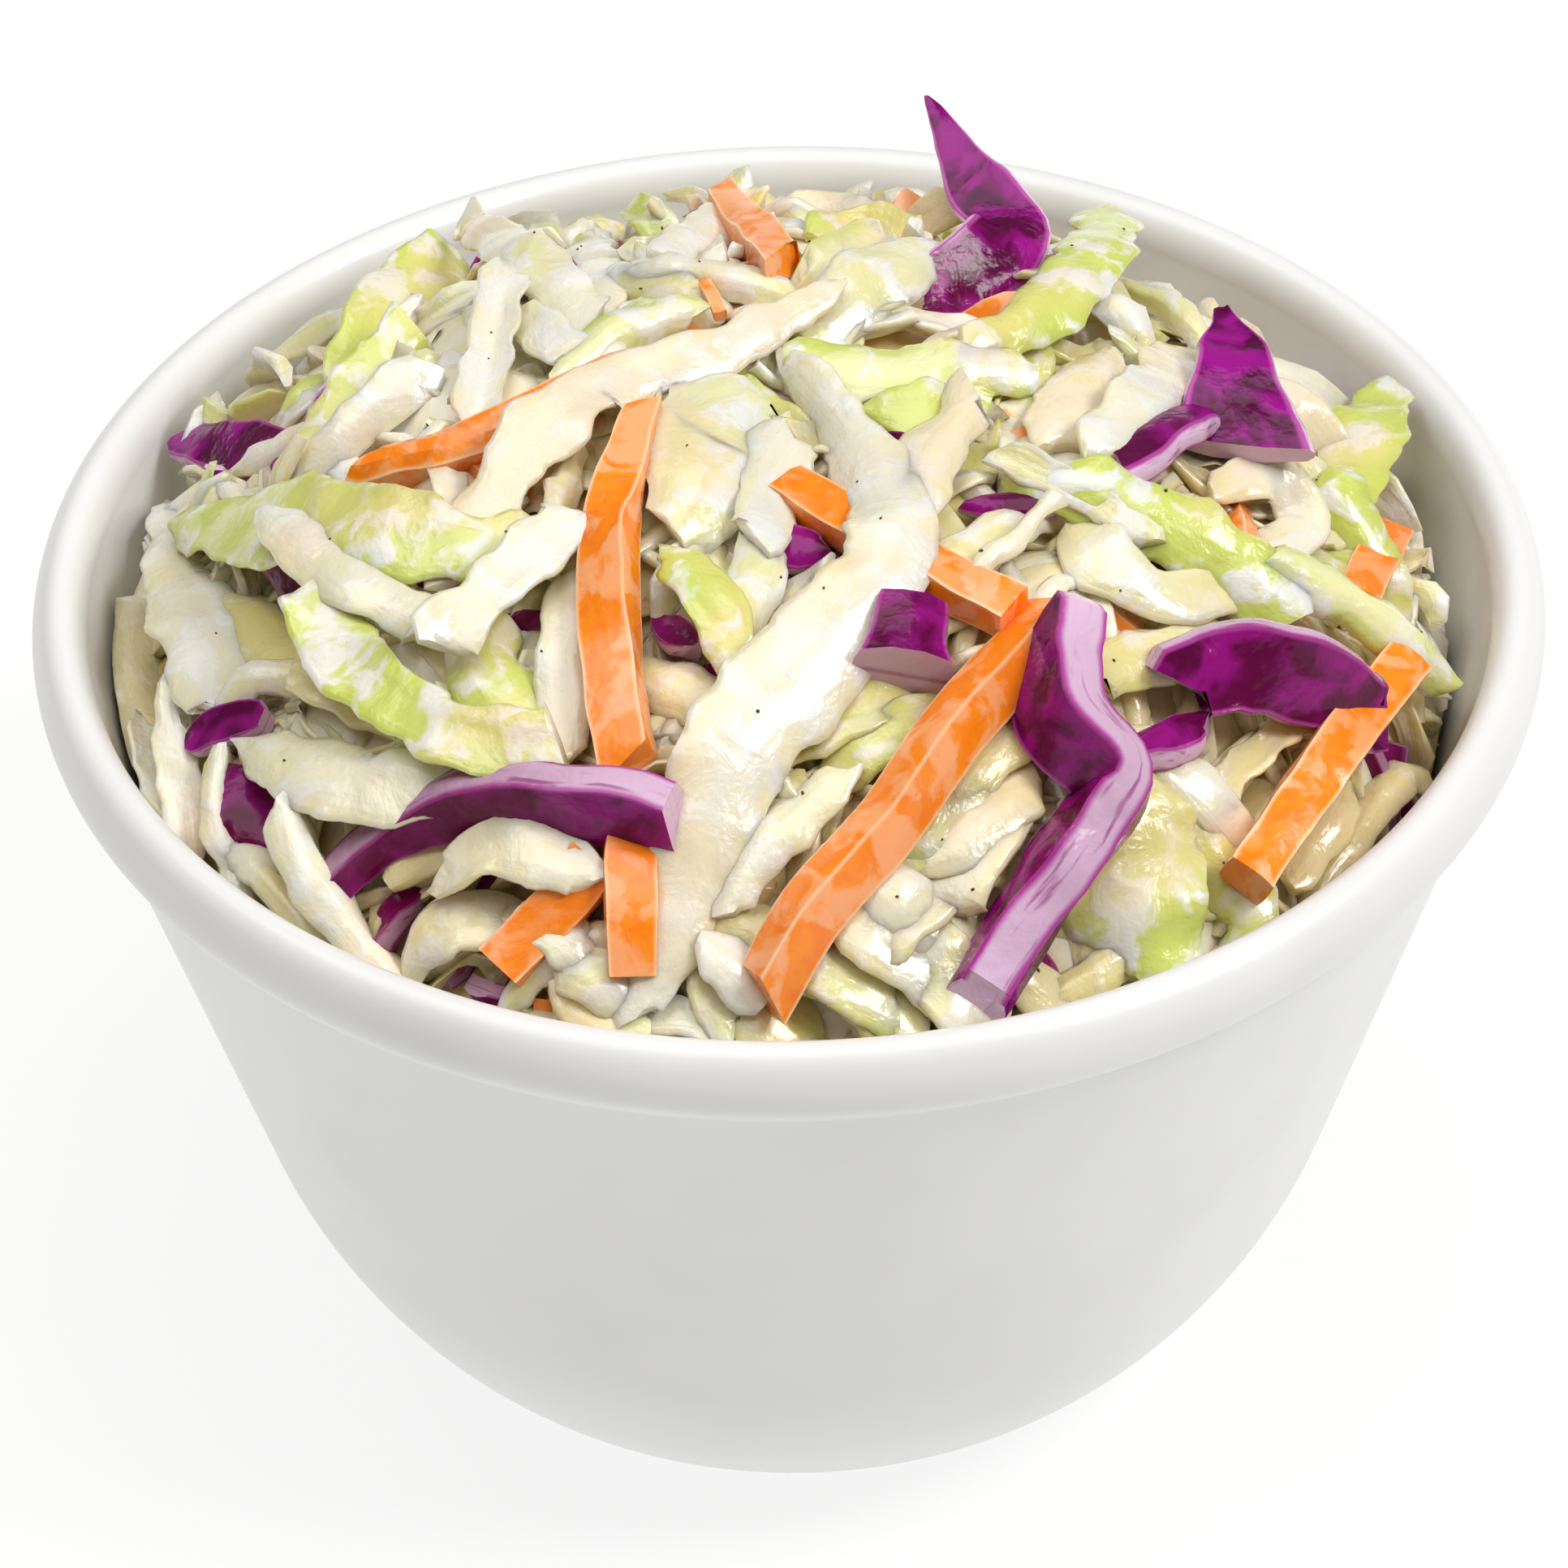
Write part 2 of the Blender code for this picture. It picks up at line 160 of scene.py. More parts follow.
class Paint(Graph):
    """A material's node graph, around one Principled shader."""

    def __init__(self, name: str, roughness: float, **uniform: Any) -> None:
        """Starts a material.

        Args:
            name: the material's name.
            roughness: the shader's roughness before any pattern.
            uniform: shader inputs that are the same all over, by name with underscores for spaces.
        """
        self.material = bpy.data.materials.new(name)
        self.material.use_nodes = True
        super().__init__(self.material.node_tree)
        self.shader = self.tree.nodes["Principled BSDF"]
        self.shader.inputs["Roughness"].default_value = roughness
        for key, value in uniform.items():
            self.shader.inputs[key.replace("_", " ")].default_value = value
        self.place = self.add("ShaderNodeTexCoord").outputs["Object"]

    def attribute(self, name: str) -> Socket:
        """A number that the piece's mesh carries at each point."""
        return self.add("ShaderNodeAttribute", attribute_name=name).outputs["Fac"]

    def noise(self, size: float, detail: float = 3.0, shift: Any = 0.0,
              stretch: float = 0.0) -> Socket:
        """Smooth noise.

        Args:
            size: the size of its patches, in millimetres.
            detail: octaves of finer noise.
            shift: a fourth coordinate, so that neighbouring shreds differ.
            stretch: distortion of the patches.

        Returns:
            The noise, around 0.5.
        """
        inputs = {"Vector": self.place, "W": shift, "Scale": 1.0 / (size * MM), "Detail": detail,
                  "Distortion": stretch}
        return self.add("ShaderNodeTexNoise", inputs, noise_dimensions="4D").outputs["Fac"]

    def noise_at(self, place: Any, detail: float) -> Socket:
        """Soft noise over a vector of the shred's own coordinates."""
        inputs = {"Vector": place, "Scale": 1.0, "Detail": detail}
        return self.add("ShaderNodeTexNoise", inputs).outputs["Fac"]

    def blend(self, share: Any, first: Any, second: Any) -> Socket:
        """A mix of two colours."""
        node = self.add("ShaderNodeMix", data_type="RGBA")
        for key, value in {"Factor": share, 6: first, 7: second}.items():
            self.feed(node.inputs[key], value)
        return node.outputs[2]

    def tint(self, base: Any, share: Any, strength: float, over: Any) -> Socket:
        """A colour with another over it, at a share of a strength."""
        return self.blend(self.product(share, strength), base, over)

    def own_shift(self) -> Socket:
        """A number from the shred's tone that moves its patterns away from its neighbours'."""
        return self.product(self.attribute("tone"), TONE_SHIFT)

    def size_of(self, name: str) -> Socket:
        """A number that the mesh carries, without its sign."""
        return self.math("ABSOLUTE", self.attribute(name))

    def bump(self, *layers: tuple[Socket, float]) -> None:
        """Raises the surface by each (height field, depth in millimetres) in turn."""
        normal = None
        for height, depth in layers:
            inputs = {"Height": height, "Distance": depth * MM, "Strength": 1.0}
            if normal is not None:
                inputs["Normal"] = normal
            normal = self.add("ShaderNodeBump", inputs).outputs[0]
        self.feed(self.shader.inputs["Normal"], normal)

    def finish(self, base: Any, roughness: Any = None) -> bpy.types.Material:
        """Joins the colour and the roughness to the shader.

        Args:
            base: the colour's output.
            roughness: the roughness pattern, if it has one.

        Returns:
            The finished material.
        """
        self.feed(self.shader.inputs["Base Color"], base)
        if roughness is not None:
            self.feed(self.shader.inputs["Roughness"], roughness)
        return self.material


@dataclass(frozen=True)
class MelamineFinish:
    """Smooth white moulded cup: soft gloss, with the faintest cloud and waviness."""

    white: tuple = colour(230, 230, 230)
    shade: tuple = colour(226, 226, 225)
    cloud_size: float = 14.0
    grain_size: float = 0.8

    def material(self) -> bpy.types.Material:
        """Builds the material."""
        paint = Paint("melamine_white", 0.3, Specular_IOR_Level=0.5, Coat_Weight=0.08, Coat_Roughness=0.2)
        cloud = paint.noise(self.cloud_size, 2.0)
        grain = paint.noise(self.grain_size, 4.0)
        paint.bump((cloud, 0.05))
        roughness = paint.math("MULTIPLY_ADD", grain, 0.12, 0.26)
        return paint.finish(paint.blend(paint.ramp(cloud, 0.4, 0.7), self.white, self.shade), roughness)


@dataclass(frozen=True)
class CabbageFinish:
    """A dressed cabbage shred: leaf or rib colour under cream dressing that lies in smears, painted darker
    and warmer as shade where it lies under other shreds.
    """

    name: str
    rib: tuple
    leaf: tuple
    edge: tuple
    dressing: tuple = colour(232, 230, 221)
    peach: tuple = colour(246, 206, 162)
    # painted shade: the darker, warmer cream for where the shred lies under others
    painted_shade_colour: tuple = colour(231, 210, 150)
    coverage: float = 0.5
    smear_size: float = 3.2
    ridges: float = 2.2
    ripe_tone: float = 0.45

    def material(self) -> bpy.types.Material:
        """Builds the material.

        Returns:
            The finished material; it reads the shred's tone, painted shade, across and along.
        """
        paint = Paint(self.name, 0.35, Subsurface_Weight=0.5, Subsurface_Scale=0.0022,
                      Subsurface_Radius=(1.0, 0.85, 0.5), Coat_Weight=0.55, Coat_Roughness=0.1)
        tone = paint.attribute("tone")
        shift = paint.own_shift()
        patch = paint.noise(self.smear_size * 2.2, 2.0, shift, 0.4)
        smear = paint.noise(self.smear_size, 4.0, shift, 0.8)
        fleck = paint.noise(0.7, 3.0, shift)
        leafy = paint.math("ADD", paint.product(patch, 0.9), paint.math("MULTIPLY_ADD", tone, 0.7, -0.35))
        base = paint.blend(paint.ramp(leafy, 0.3, 0.62), self.rib, self.leaf)
        base = paint.tint(base, paint.ramp(paint.size_of("across"), 0.55, 1.0), 0.75, self.edge)
        bare = 0.72 - self.coverage * 0.3
        cover = paint.ramp(paint.math("MULTIPLY_ADD", fleck, 0.16, smear), bare, bare + 0.14)
        base = paint.blend(cover, base, self.dressing)
        blush = paint.ramp(paint.noise(11.0, 1.0, 3.0), 0.5, 0.68)
        ripe = paint.math("COMPARE", tone, self.ripe_tone, 0.02)
        blush = paint.math("MAXIMUM", paint.product(blush, 0.4), paint.product(ripe, 0.32))
        base = paint.blend(blush, base, self.peach)
        # painted shade: tint toward the darker cream where the shred lies under other shreds
        base = paint.tint(base, paint.ramp(paint.attribute("soak"), 0.12, 1.0), 0.72, self.painted_shade_colour)
        streak = self._streaks(paint, shift)
        paint.bump((patch, 0.6), (smear, 0.4), (fleck, 0.1), (streak, 0.1))
        return paint.finish(base, paint.math("MULTIPLY_ADD", smear, 0.3, 0.1))

    def _streaks(self, paint: Paint, shift: Any) -> Socket:
        """Soft ridges that run along the shred, from its across and along coordinates."""
        across = paint.product(paint.attribute("across"), self.ridges)
        place = paint.combine(across, paint.product(paint.attribute("along"), 2.0), shift)
        return paint.noise_at(place, 2.0)


@dataclass(frozen=True)
class CarrotFinish:
    """Cut carrot: moist orange flesh with fine grain along it, pale pink smears of dressing, a painted
    highlight along its corners and painted shade where it lies under other shreds.
    """

    flesh: tuple = colour(255, 146, 20)
    deep: tuple = colour(252, 128, 6)
    smeared: tuple = colour(255, 188, 138)
    # painted highlight: the pale line that light leaves along the carrot's corners
    ridge_highlight: tuple = colour(255, 216, 172)
    # painted shade: deeper orange for where the carrot lies under other shreds
    painted_shade_colour: tuple = colour(232, 120, 14)

    def material(self) -> bpy.types.Material:
        """Builds the material."""
        paint = Paint("carrot_cut", 0.3, Subsurface_Weight=0.12, Subsurface_Scale=0.002,
                      Subsurface_Radius=(1.0, 0.5, 0.15), Coat_Weight=0.25, Coat_Roughness=0.12)
        shift = paint.own_shift()
        grain = paint.noise(1.1, 4.0, shift, 0.6)
        smear = paint.noise(3.6, 4.0, shift, 1.2)
        base = paint.blend(paint.ramp(grain, 0.35, 0.65), self.flesh, self.deep)
        cover = paint.ramp(paint.math("MULTIPLY_ADD", grain, 0.2, smear), 0.57, 0.69)
        base = paint.tint(base, cover, 0.75, self.smeared)
        # painted highlight along the corners where two faces meet
        ridge_highlight = paint.math("MINIMUM", paint.size_of("across"), paint.size_of("face"))
        base = paint.tint(base, paint.ramp(ridge_highlight, 0.8, 1.0), 0.9, self.ridge_highlight)
        # painted shade where the carrot lies under other shreds
        base = paint.tint(base, paint.attribute("soak"), 0.8, self.painted_shade_colour)
        paint.bump((smear, 0.12), (grain, 0.06))
        return paint.finish(base, paint.math("MULTIPLY_ADD", smear, 0.3, 0.12))


@dataclass(frozen=True)
class RedCabbageFinish:
    """Red cabbage: glossy purple skin on its broad faces, lilac white flesh where it is cut, painted darker
    as shade where it lies under other shreds.
    """

    skin: tuple = colour(78, 2, 56)
    bright: tuple = colour(150, 18, 132)
    flesh: tuple = colour(228, 196, 226)
    line: tuple = colour(176, 34, 156)
    # painted shade: dark purple for where the shred lies under others
    painted_shade_colour: tuple = colour(110, 10, 60)
    cut_end: float = 0.4999

    def material(self) -> bpy.types.Material:
        """Builds the material; the cut faces are where the shred's across coordinate is at its ends."""
        paint = Paint("red_cabbage_wet", 0.2, Specular_IOR_Level=0.16, Subsurface_Weight=0.08,
                      Subsurface_Scale=0.0015, Coat_Weight=0.15, Coat_Roughness=0.06)
        shift = paint.own_shift()
        mottle = paint.noise(3.0, 3.0, shift, 0.6)
        fine = paint.noise(0.8, 3.0, shift)
        skin = paint.blend(paint.ramp(mottle, 0.4, 0.62), self.skin, self.bright)
        cut = paint.ramp(paint.size_of("across"), 0.86, 0.97)
        along = paint.attribute("along")
        from_middle = paint.math("ABSOLUTE", paint.math("SUBTRACT", along, 0.5))
        end = paint.math("GREATER_THAN", from_middle, self.cut_end)
        grain = paint.combine(paint.product(paint.attribute("face"), 2.4), paint.product(along, 5.0), shift)
        vein = paint.noise_at(grain, 3.0)
        flesh = paint.tint(self.flesh, paint.ramp(vein, 0.54, 0.7), 0.7, self.bright)
        edge = paint.ramp(paint.size_of("face"), 0.6, 0.95)
        edge = paint.math("MULTIPLY", edge, paint.math("SUBTRACT", 0.9, end))
        flesh = paint.blend(edge, flesh, self.line)
        base = paint.blend(paint.math("MAXIMUM", cut, end), skin, flesh)
        # painted shade where the shred lies under other shreds
        base = paint.tint(base, paint.attribute("soak"), 0.7, self.painted_shade_colour)
        paint.bump((mottle, 0.4), (fine, 0.08))
        return paint.finish(base, paint.math("MULTIPLY_ADD", fine, 0.2, 0.08))


@dataclass(frozen=True)
class DressingFinish:
    """Thin cream dressing: warm white, wet, and a little see-through at its edges; darker and browner where
    it lies low, as painted shade.
    """

    cream: tuple = colour(236, 229, 206)
    shade: tuple = colour(234, 218, 168)
    # painted shade: the browner cream for where the dressing lies low
    painted_shade_colour: tuple = colour(226, 198, 130)

    def material(self) -> bpy.types.Material:
        """Builds the material."""
        paint = Paint("cream_dressing", 0.2, Subsurface_Weight=0.35, Subsurface_Scale=0.0025,
                      Subsurface_Radius=(1.0, 0.85, 0.6), Coat_Weight=0.5, Coat_Roughness=0.08)
        cloud = paint.noise(2.4, 3.0)
        fine = paint.noise(0.5, 3.0)
        paint.bump((cloud, 0.2), (fine, 0.03))
        base = paint.blend(paint.ramp(cloud, 0.45, 0.7), self.cream, self.shade)
        # painted shade where the dressing lies low between the shreds
        base = paint.blend(paint.ramp(paint.attribute("soak"), 0.1, 0.9), base, self.painted_shade_colour)
        return paint.finish(base, paint.math("MULTIPLY_ADD", fine, 0.2, 0.12))


@dataclass(frozen=True)
class CoreFinish:
    """The depths of the heap, wet: a body whose olive and brown colour is painted shade for the deep gaps.
    """

    # painted shade: dark olive and brown that stand for the shade deep between the shreds
    olive: tuple = colour(196, 182, 112)
    brown: tuple = colour(160, 126, 66)

    def material(self) -> bpy.types.Material:
        """Builds the material."""
        paint = Paint("core_painted_shade", 0.35)
        cloud = paint.noise(4.0, 4.0, 0.0, 0.5)
        fine = paint.noise(1.0, 3.0)
        paint.bump((cloud, 1.0), (fine, 0.3))
        base = paint.blend(paint.ramp(cloud, 0.4, 0.62), self.brown, self.olive)
        return paint.finish(base, paint.math("MULTIPLY_ADD", fine, 0.3, 0.2))


@dataclass(frozen=True)
class PepperFinish:
    """Ground pepper: near black with brown grains."""

    black: tuple = colour(44, 36, 28)
    brown: tuple = colour(96, 74, 46)

    def material(self) -> bpy.types.Material:
        """Builds the material."""
        paint = Paint("ground_pepper", 0.6)
        grain = paint.noise(0.4, 2.0)
        paint.bump((grain, 0.05))
        return paint.finish(paint.blend(grain, self.black, self.brown))


# --------------------------------------------------------------------------- meshes


def own_mesh(thing: bpy.types.Object) -> bpy.types.Mesh:
    """Turns a modified object into a plain mesh and takes its modifiers off.

    Args:
        thing: an object with live modifiers.

    Returns:
        Its new mesh, with its faces pointing out.
    """
    depsgraph = bpy.context.evaluated_depsgraph_get()
    mesh = bpy.data.meshes.new_from_object(thing.evaluated_get(depsgraph), depsgraph=depsgraph)
    thing.modifiers.clear()
    thing.data = mesh
    if signed_volume(mesh) < 0:
        mesh.flip_normals()
    return mesh


def signed_volume(mesh: bpy.types.Mesh) -> float:
    """A closed mesh's volume, below zero where its faces point in."""
    mesh.calc_loop_triangles()
    corners = np.zeros(len(mesh.loop_triangles) * 3, dtype=np.int32)
    mesh.loop_triangles.foreach_get("vertices", corners)
    first, second, third = vertices_of(mesh)[corners].reshape(-1, 3, 3).transpose(1, 0, 2)
    return float(np.einsum("ij,ij->i", first, np.cross(second, third)).sum() / 6)


def vertices_of(mesh: bpy.types.Mesh) -> np.ndarray:
    """The mesh's vertices as an array of rows."""
    places = np.zeros(len(mesh.vertices) * 3)
    mesh.vertices.foreach_get("co", places)
    return places.reshape(-1, 3)


def part_metres(places: np.ndarray) -> np.ndarray:
    """Places in millimetres from the rim's top, as places of the part in metres."""
    return (places + (0.0, 0.0, RIM_HEIGHT)) * MM


def closed_rings(name: str, rings: Sequence[np.ndarray], material: bpy.types.Material) -> bpy.types.Mesh:
    """A closed body from rings of points, with a face over each end.

    Args:
        name: the mesh's name.
        rings: the places of each ring from the lowest up, all with as many points.
        material: its finish.

    Returns:
        The mesh, smooth, with its faces pointing out.
    """
    count = len(rings[0])
    last = (len(rings) - 1) * count
    faces = [tuple(reversed(range(count)))]
    for start in range(0, last, count):
        for here in range(count):
            low, high = start + here, start + (here + 1) % count
            faces.append((low, high, high + count, low + count))
    faces.append(tuple(range(last, last + count)))
    mesh = bpy.data.meshes.new(name)
    mesh.from_pydata(part_metres(np.vstack(rings)).tolist(), [], faces)
    mesh.materials.append(material)
    mesh.shade_smooth()
    if signed_volume(mesh) < 0:
        mesh.flip_normals()
    return mesh


def add_piece(name: str, mesh: bpy.types.Mesh) -> bpy.types.Object:
    """Links a new object that shows a mesh."""
    thing = bpy.data.objects.new(name, mesh)
    bpy.context.scene.collection.objects.link(thing)
    return thing


def hand_over(piece: bpy.types.Object, slot: str, node: str) -> None:
    """Parents a finished piece to the root body, hides the imported node that it stands for, and logs its
    triangle count, slot and node.
    """
    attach(piece, "root")
    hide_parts(node)
    triangles = sum(len(face.vertices) - 2 for face in piece.data.polygons)
    log.info("%s: %d triangles, slot %s, for node %s", piece.name, triangles, slot, node)


class ModifierTree(Graph):
    """A Geometry Nodes tree with named inputs, put on one object."""

    def __init__(self, name: str, sizes: dict[str, Any]) -> None:
        """Starts a tree.

        Args:
            name: the tree's name.
            sizes: input name to its value; whole numbers make integer inputs.
        """
        super().__init__(bpy.data.node_groups.new(name, "GeometryNodeTree"))
        self.sizes = sizes
        self.tree.interface.new_socket("Geometry", in_out="INPUT", socket_type="NodeSocketGeometry")
        self.tree.interface.new_socket("Geometry", in_out="OUTPUT", socket_type="NodeSocketGeometry")
        kinds = {int: "NodeSocketInt", float: "NodeSocketFloat"}
        for size, value in sizes.items():
            self.tree.interface.new_socket(size, in_out="INPUT", socket_type=kinds[type(value)])
        self.given = self.add("NodeGroupInput").outputs

    def named(self, name: str, data_type: str = "FLOAT") -> Socket:
        """An attribute of the geometry, by name."""
        node = self.add("GeometryNodeInputNamedAttribute", {"Name": name}, data_type=data_type)
        return node.outputs["Attribute"]

    def store(self, geometry: Any, name: str, value: Any) -> Socket:
        """Keeps a number on every point, by name."""
        inputs = {"Geometry": geometry, "Name": name, "Value": value}
        node = self.add("GeometryNodeStoreNamedAttribute", inputs, data_type="FLOAT", domain="POINT")
        return node.outputs[0]

    def close(self, geometry: Any, material: bpy.types.Material) -> None:
        """Ends the tree: realizes what is instanced, sets the material and gives the result."""
        real = self.add("GeometryNodeRealizeInstances", {"Geometry": geometry}).outputs[0]
        finished = self.add("GeometryNodeSetMaterial", {"Geometry": real, "Material": material}).outputs[0]
        self.add("NodeGroupOutput", {0: finished})

    def put_on(self, thing: bpy.types.Object) -> None:
        """Puts the tree on an object and sets its inputs by their identifiers."""
        modifier = thing.modifiers.new(self.tree.name, "NODES")
        modifier.node_group = self.tree
        for item in self.tree.interface.items_tree:
            if item.in_out == "INPUT" and item.name in self.sizes:
                modifier[item.identifier] = self.sizes[item.name]


# --------------------------------------------------------------------------- the cup


@dataclass
class Cup:
    """The round side cup, turned from one section; sizes in millimetres, heights from the foot."""

    rim_radius: float = RIM_RADIUS
    height: float = RIM_HEIGHT
    lip_width: float = 3.6
    lip_height: float = 5.6
    lip_end: float = -58.0
    lip_overhang: float = 2.5
    under_lip: float = 1.2
    crease_in: float = 0.6
    crease_drop: float = 0.5
    crease_out: float = 0.05
    crease_rise: float = 0.4
    shoulder_radius: float = 36.6
    shoulder_height: float = 18.8
    wall: float = 2.7
    foot_radius: float = 22.6
    foot_ring: float = 2.4
    foot_recess: float = 0.8
    floor: float = 4.0
    belly_out: float = 6.5
    belly_rise: float = 3.6
    belly_rise_inside: float = 1.5
    shoulder_in: float = 2.2
    shoulder_drop: float = 7.3
    steps: int = 160

    @staticmethod
    def _bend(start: tuple, pull: tuple, push: tuple, end: tuple, steps: int) -> list[tuple[float, float]]:
        """Points of a cubic bend, without its start."""
        shares = np.linspace(0.0, 1.0, steps + 1)[1:, None]
        left = 1 - shares
        parts = (left ** 3, 3 * shares * left ** 2, 3 * shares ** 2 * left, shares ** 3)
        points = sum(part * np.array(point) for part, point in zip(parts, (start, pull, push, end)))
        return [tuple(point) for point in points]

    def cavity(self) -> list[tuple[float, float]]:
        """The inside from the floor's middle up to the lip, as (radius, height)."""
        foot = (self.foot_radius - self.wall, self.floor)
        shoulder = (self.shoulder_radius - self.wall, self.shoulder_height)
        out_of_foot = (foot[0] + self.belly_out, self.floor + self.belly_rise_inside)
        below_shoulder = (shoulder[0] - self.shoulder_in, shoulder[1] - self.shoulder_drop)
        belly = self._bend(foot, out_of_foot, below_shoulder, shoulder, 14)
        lip = (self.rim_radius - self.lip_width, self.height - self.lip_height / 2)
        return [(0.0, self.floor), foot, *belly, lip]

    def cavity_radius(self, height: np.ndarray) -> np.ndarray:
        """Radius of the inside at heights from the foot; above the lip's middle it stays the same."""
        radii, heights = zip(*self.cavity()[1:])
        return np.interp(height, heights, radii)

    def section(self) -> list[tuple[float, float]]:
        """The whole section, from the floor's middle over the lip to the middle under the foot."""
        angles = np.radians(np.linspace(180.0, self.lip_end, 26))[1:]
        middle = (self.rim_radius - self.lip_width / 2, self.height - self.lip_height / 2)
        lip = [(middle[0] + self.lip_width / 2 * math.cos(a), middle[1] + self.lip_height / 2 * math.sin(a))
               for a in angles]
        wall_top = (self.rim_radius - self.lip_overhang, self.height - self.lip_height - self.under_lip)
        out_of_lip = (lip[-1][0] - self.crease_in, lip[-1][1] - self.crease_drop)
        into_wall = (wall_top[0] + self.crease_out, wall_top[1] + self.crease_rise)
        crease = self._bend(lip[-1], out_of_lip, into_wall, wall_top, 6)
        shoulder = (self.shoulder_radius, self.shoulder_height)
        foot = (self.foot_radius, 0.0)
        belly = self._bend(shoulder, (shoulder[0] - self.shoulder_in, shoulder[1] - self.shoulder_drop),
                           (foot[0] + self.belly_out, self.belly_rise), foot, 20)
        inside = self.foot_radius - self.foot_ring
        recess = [(inside, 0.0), (inside - self.foot_recess, self.foot_recess), (0.0, self.foot_recess)]
        return [*self.cavity(), *lip, *crease, shoulder, *belly, *recess]

    def _turning(self, points: int, material: bpy.types.Material) -> ModifierTree:
        """The tree that turns a section about the cup's axis.

        Args:
            points: how many points the section has.
            material: the cup's finish.

        Returns:
            The tree, ready to put on the section.
        """
        graph = ModifierTree("turned_section", {"Section Points": points, "Steps": self.steps})
        rows = graph.math("ADD", graph.given["Steps"], 1)
        grid_inputs = {"Vertices X": graph.given["Section Points"], "Vertices Y": rows}
        grid = graph.add("GeometryNodeMeshGrid", grid_inputs).outputs["Mesh"]
        index = graph.add("GeometryNodeInputIndex").outputs[0]
        along = graph.math("FLOOR", graph.math("DIVIDE", index, rows))
        around = graph.math("MULTIPLY", graph.math("MODULO", index, rows), math.tau)
        angle = graph.math("DIVIDE", around, graph.given["Steps"])
        place = graph.add("GeometryNodeInputPosition").outputs[0]
        inputs = {"Geometry": graph.given["Geometry"], "Value": place, "Index": along}
        sample = graph.add("GeometryNodeSampleIndex", inputs, data_type="FLOAT_VECTOR", domain="POINT")
        flat = graph.add("ShaderNodeSeparateXYZ", {0: sample.outputs[0]}).outputs
        across, deep = (graph.product(flat["X"], graph.math(wave, angle)) for wave in ("COSINE", "SINE"))
        turned = graph.combine(across, deep, flat["Z"])
        body = graph.add("GeometryNodeSetPosition", {"Geometry": grid, "Position": turned}).outputs[0]
        merged = {"Geometry": body, "Distance": SEAM}
        closed = graph.add("GeometryNodeMergeByDistance", merged).outputs[0]
        graph.close(closed, material)
        return graph

    def build(self) -> bpy.types.Object:
        """Makes the cup and hands it over."""
        section = self.section()
        mesh = bpy.data.meshes.new("cup_section")
        corners = [(radius * MM, 0.0, height * MM) for radius, height in section]
        mesh.from_pydata(corners, [(i, i + 1) for i in range(len(corners) - 1)], [])
        piece = add_piece("side_cup", mesh)
        self._turning(len(corners), MelamineFinish().material()).put_on(piece)
        own_mesh(piece)
        piece.data.shade_smooth()
        piece.data.set_sharp_from_angle(angle=math.radians(50.0))
        hand_over(piece, "cup", "cup")
        return piece


# --------------------------------------------------------------------------- the heap's form


@dataclass
class Heap:
    """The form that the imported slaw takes: a dome that meets the wall lowest at the back right."""

    cup: Cup
    top: float = 11.0
    side: float = 43.5
    steepness: float = 3.0
    contact_depth: float = 7.2
    contact_sway: float = 2.4
    low_side: float = math.radians(40.0)
    wall_gap: float = 0.4
    ceiling: float = 15.7
    easing: float = 0.8

    def surface(self, x: np.ndarray, y: np.ndarray) -> np.ndarray:
        """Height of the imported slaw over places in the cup, from the rim's top."""
        contact = -self.contact_depth - self.contact_sway * np.cos(np.arctan2(y, x) - self.low_side)
        reach = np.minimum(np.hypot(x, y) / self.side, 1.0)
        return contact + (self.top - contact) * (1.0 - reach ** self.steepness)

    def room(self, height: np.ndarray) -> np.ndarray:
        """How far from the axis a point at a height may lie inside the cup."""
        return self.cup.cavity_radius(np.asarray(height) + self.cup.height) - self.wall_gap

    def keep_inside(self, places: np.ndarray) -> np.ndarray:
        """Draws places in from the wall and down under the ceiling.

        Args:
            places: rows of x, y and height from the rim's top.

        Returns:
            The places, none of them in the cup's wall or above the ceiling.
        """
        reach = np.maximum(np.hypot(places[:, 0], places[:, 1]), 1e-6)
        share = np.minimum(self.room(places[:, 2]) / reach, 1.0)
        over = np.maximum(places[:, 2] - self.ceiling + self.easing, 0.0)
        lower = self.easing * np.tanh(over / self.easing) - over
        drawn_in = places * np.stack([share, share, np.ones_like(share)], axis=1)
        return drawn_in + np.outer(lower, (0.0, 0.0, 1.0))


